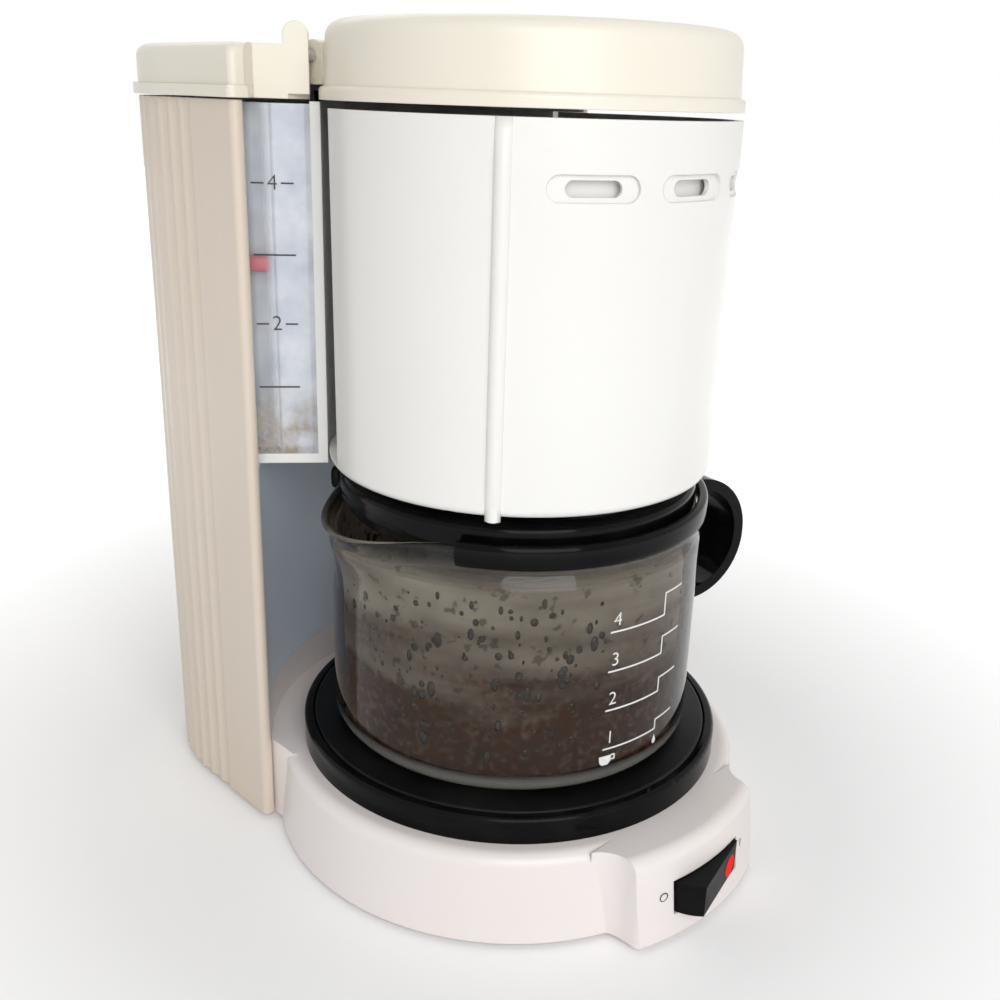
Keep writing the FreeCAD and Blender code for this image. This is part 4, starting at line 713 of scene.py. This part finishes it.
def glass_line(inset, floor_height, rim):
    """Radius and height from the middle of the floor to the neck's edge, that far inside the outer face."""
    corner = GLASS_CORNER - inset / 2
    wall = GLASS_RADIUS - inset
    wall_low = floor_height + corner
    neck_top = rim - GLASS_EDGE
    rows = [(GLASS_CENTRE, floor_height)]
    for step in range(CORNER_STEPS + 1):
        lean = math.pi / 2 * step / CORNER_STEPS
        rows.append((wall - corner * (1 - math.sin(lean)), floor_height + corner * (1 - math.cos(lean))))
    for step in range(1, WALL_STEPS + 1):
        rows.append((wall, wall_low + (GLASS_SHOULDER - wall_low) * step / WALL_STEPS))
    for step in range(1, SHOULDER_STEPS + 1):
        share = step / SHOULDER_STEPS
        ease = share * share * (3 - 2 * share)
        height = GLASS_SHOULDER + (GLASS_NECK_LOW - GLASS_SHOULDER) * share
        rows.append((wall + (GLASS_NECK - GLASS_RADIUS) * ease, height))
    for step in range(1, NECK_STEPS + 1):
        height = GLASS_NECK_LOW + (neck_top - GLASS_NECK_LOW) * step / NECK_STEPS
        rows.append((GLASS_NECK - inset, height))
    return rows


def carafe_body():
    """Turned glass with its lip pushed out and down. The faces inside get the mist."""
    low, high = size_of("carafe_glass")
    rim = high.z
    outer = glass_line(0.0, low.z, rim)
    inner = glass_line(GLASS_WALL, low.z + GLASS_BASE, rim)
    edge = []
    for step in range(1, EDGE_STEPS):
        lean = math.pi * step / EDGE_STEPS
        inward = GLASS_WALL * (0.5 - 0.5 * math.cos(lean))
        edge.append((GLASS_NECK - inward, rim - GLASS_EDGE * (1 - math.sin(lean))))
    rows = outer + edge + list(reversed(inner))
    points = []
    for radius, height in rows:
        lift = max(0.0, (height - LIP_START) / (rim - LIP_START)) ** LIP_CURVE
        for turn in range(GLASS_TURNS):
            angle = 360.0 * turn / GLASS_TURNS
            off = (angle - LIP_ANGLE + 180) % 360 - 180
            near = math.cos(min(abs(off) / LIP_HALF, 1.0) * math.pi / 2) ** 2
            push = near * lift
            points.append(around(angle, radius + LIP_REACH * push, height - LIP_DROOP * push))
    item = piece("carafe_body", points, skin(len(rows), GLASS_TURNS), finishes["glass"], "carafe")
    item.data.materials.append(carafe_mist())
    first_inside = (len(outer) + len(edge)) * GLASS_TURNS
    for polygon in item.data.polygons:
        polygon.material_index = 1 if min(polygon.vertices) >= first_inside else 0
    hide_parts("carafe_glass")


# Rounded pieces: the carafe's band and drops, the drum's bead and the drip stop's spring

BAND_FROM = -62.0
BAND_TO = 222.0
BAND_MIDDLE = 58.3
BAND_HALF = 1.7
BAND_STEPS = 142
BAND_TURNS = 20
BAND_OUT_POWER = 0.7
BAND_UP_POWER = 0.6
# Degrees from each end, and the share of the full section there
BAND_ENDS = ((0.0, 0.72), (0.25, 0.93), (0.7, 1.0))


def fuller(amount, power):
    """A sine or cosine raised to a power under 1, with its sign kept, for a fuller round."""
    return math.copysign(abs(amount) ** power, amount)


def carafe_ring():
    """Band round the neck with a rounded section and two softly closed ends."""
    low, high = size_of("carafe_band")
    middle = (low.z + high.z) / 2
    half = (high.z - low.z) / 2
    first = BAND_FROM + BAND_ENDS[-1][0]
    last = BAND_TO - BAND_ENDS[-1][0]
    stops = [(BAND_FROM + off, share) for off, share in BAND_ENDS]
    stops += [(first + (last - first) * step / BAND_STEPS, 1.0) for step in range(1, BAND_STEPS)]
    stops += [(BAND_TO - off, share) for off, share in reversed(BAND_ENDS)]
    points = []
    for angle, share in stops:
        for turn in range(BAND_TURNS):
            way = -2 * math.pi * turn / BAND_TURNS
            out = BAND_HALF * share * fuller(math.cos(way), BAND_OUT_POWER)
            up = half * share * fuller(math.sin(way), BAND_UP_POWER)
            points.append(around(angle, BAND_MIDDLE + out, middle + up))
    faces = skin(len(stops), BAND_TURNS)
    item = piece("carafe_ring", points, faces, finishes["black_plastic"], "carafe")
    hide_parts("carafe_band")


DROP_COUNT = 640
DROP_SEED = 7
DROP_FROM = 14
DROP_TO = 342
DROP_LOWEST = 46
DROP_RANGE = 52
DROP_SMALLEST = 0.4
DROP_LENGTHS = (1.0, 1.1, 1.3, 2.0)
DROP_DEPTH = 0.45
DROP_SINK = 0.05
DROP_RINGS = 4
DROP_TURNS = 8


def dome(wide, tall, deep):
    """A drop as artwork: a flattened half ball, sunk a little into the wall."""
    points = []
    for ring in range(DROP_RINGS):
        lean = math.pi / 2 * ring / DROP_RINGS
        for turn in range(DROP_TURNS):
            way = 2 * math.pi * turn / DROP_TURNS
            along = wide * math.cos(lean) * math.cos(way)
            up = tall * math.cos(lean) * math.sin(way)
            points.append((along, up, deep * math.sin(lean) - DROP_SINK))
    tip = len(points)
    points.append((0, 0, deep - DROP_SINK))
    faces = skin(DROP_RINGS, DROP_TURNS)
    top = faces.pop()
    for turn in range(DROP_TURNS):
        faces.append((top[turn], top[(turn + 1) % DROP_TURNS], tip))
    return points, faces


def carafe_drops():
    """Condensed drops at the inner wall, some drawn out into short runs, clear of the printed scale. They
    stand out into the glass, so that the film behind doesn't hide them."""
    draw = random.Random(DROP_SEED)
    wall = GLASS_RADIUS - GLASS_WALL
    parts = []
    for _ in range(DROP_COUNT):
        angle = draw.uniform(DROP_FROM, DROP_TO)
        height = DROP_LOWEST + DROP_RANGE * draw.random() ** 0.8
        wide = DROP_SMALLEST + draw.random() ** 1.6
        tall = wide * draw.choice(DROP_LENGTHS)
        parts.append((*dome(wide, tall, DROP_DEPTH * wide), on_round(angle, wall, height)))
    points, faces = collected(parts)
    item = piece("carafe_drops", points, faces, water_drops(), "carafe")


RIB_ANGLE = -52.0
RIB_HALF = 2.2
RIB_RISE = 2.0
RIB_SINK = 0.25
RIB_END = 0.45
RIB_END_SLOPE = 6
RIB_ROWS = 25
RIB_TURNS = 16


def drum_rib():
    """Round bead down the drum's front left, over the narrower one of the moulding, lower at its ends."""
    low, high = size_of("drum_shell")
    points = []
    for row in range(RIB_ROWS):
        share = row / (RIB_ROWS - 1)
        height = low.z + (high.z - low.z) * share
        wall = DRUM_FOOT_RADIUS + (DRUM_TOP_RADIUS - DRUM_FOOT_RADIUS) * share
        rise = RIB_RISE * min(1.0, RIB_END + RIB_END_SLOPE * min(share, 1 - share))
        for turn in range(RIB_TURNS):
            way = math.pi * (turn / (RIB_TURNS - 1) - 0.5)
            along = RIB_HALF * math.sin(way)
            out = rise * math.cos(way) - RIB_SINK
            points.append(around(RIB_ANGLE + math.degrees(along / wall), wall + out, height))
    item = piece("drum_bead", points, skin(RIB_ROWS, RIB_TURNS), finishes["ivory_plastic"], "drum")


COIL_LOOPS = 3
COIL_WIRE = 0.42
COIL_STEPS = 72
COIL_TURNS = 8


def valve_coil():
    """Spring of the drip stop; the coil keeps its length here, though the real spring shortens as its
    plunger is pressed up.
    """
    low, high = size_of("valve_spring")
    tall = high.z - low.z
    radius = (high.x - low.x) / 2 - COIL_WIRE
    points = []
    for step in range(COIL_STEPS + 1):
        share = step / COIL_STEPS
        middle = low.z + COIL_WIRE + (tall - 2 * COIL_WIRE) * share
        for turn in range(COIL_TURNS):
            way = -2 * math.pi * turn / COIL_TURNS
            out = COIL_WIRE * math.cos(way)
            up = COIL_WIRE * math.sin(way)
            points.append(around(360 * COIL_LOOPS * share, radius + out, middle + up))
    faces = skin(COIL_STEPS + 1, COIL_TURNS)
    item = piece("valve_coil", points, faces, finishes["steel"], "drip_valve")
    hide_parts("valve_spring")
    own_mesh(item)


camera()
world()
floor()
lamp("key", (-500, -850, 600), aim=(0, 0, 120), size=0.8, power=7.0)
lamp("fill", (800, -600, 450), aim=(0, 20, 120), size=0.8, power=0.25, colour=(1.0, 0.95, 0.88))
lamp("rim", (300, 750, 900), aim=(0, 30, 150), size=0.7, power=1.2)
finish_nodes()
carafe_body()
carafe_ring()
carafe_drops()
drum_rib()
valve_coil()
carafe_scale()
gauge_scale()
switch_marks()

bpy.context.scene.view_settings.view_transform = "Standard"
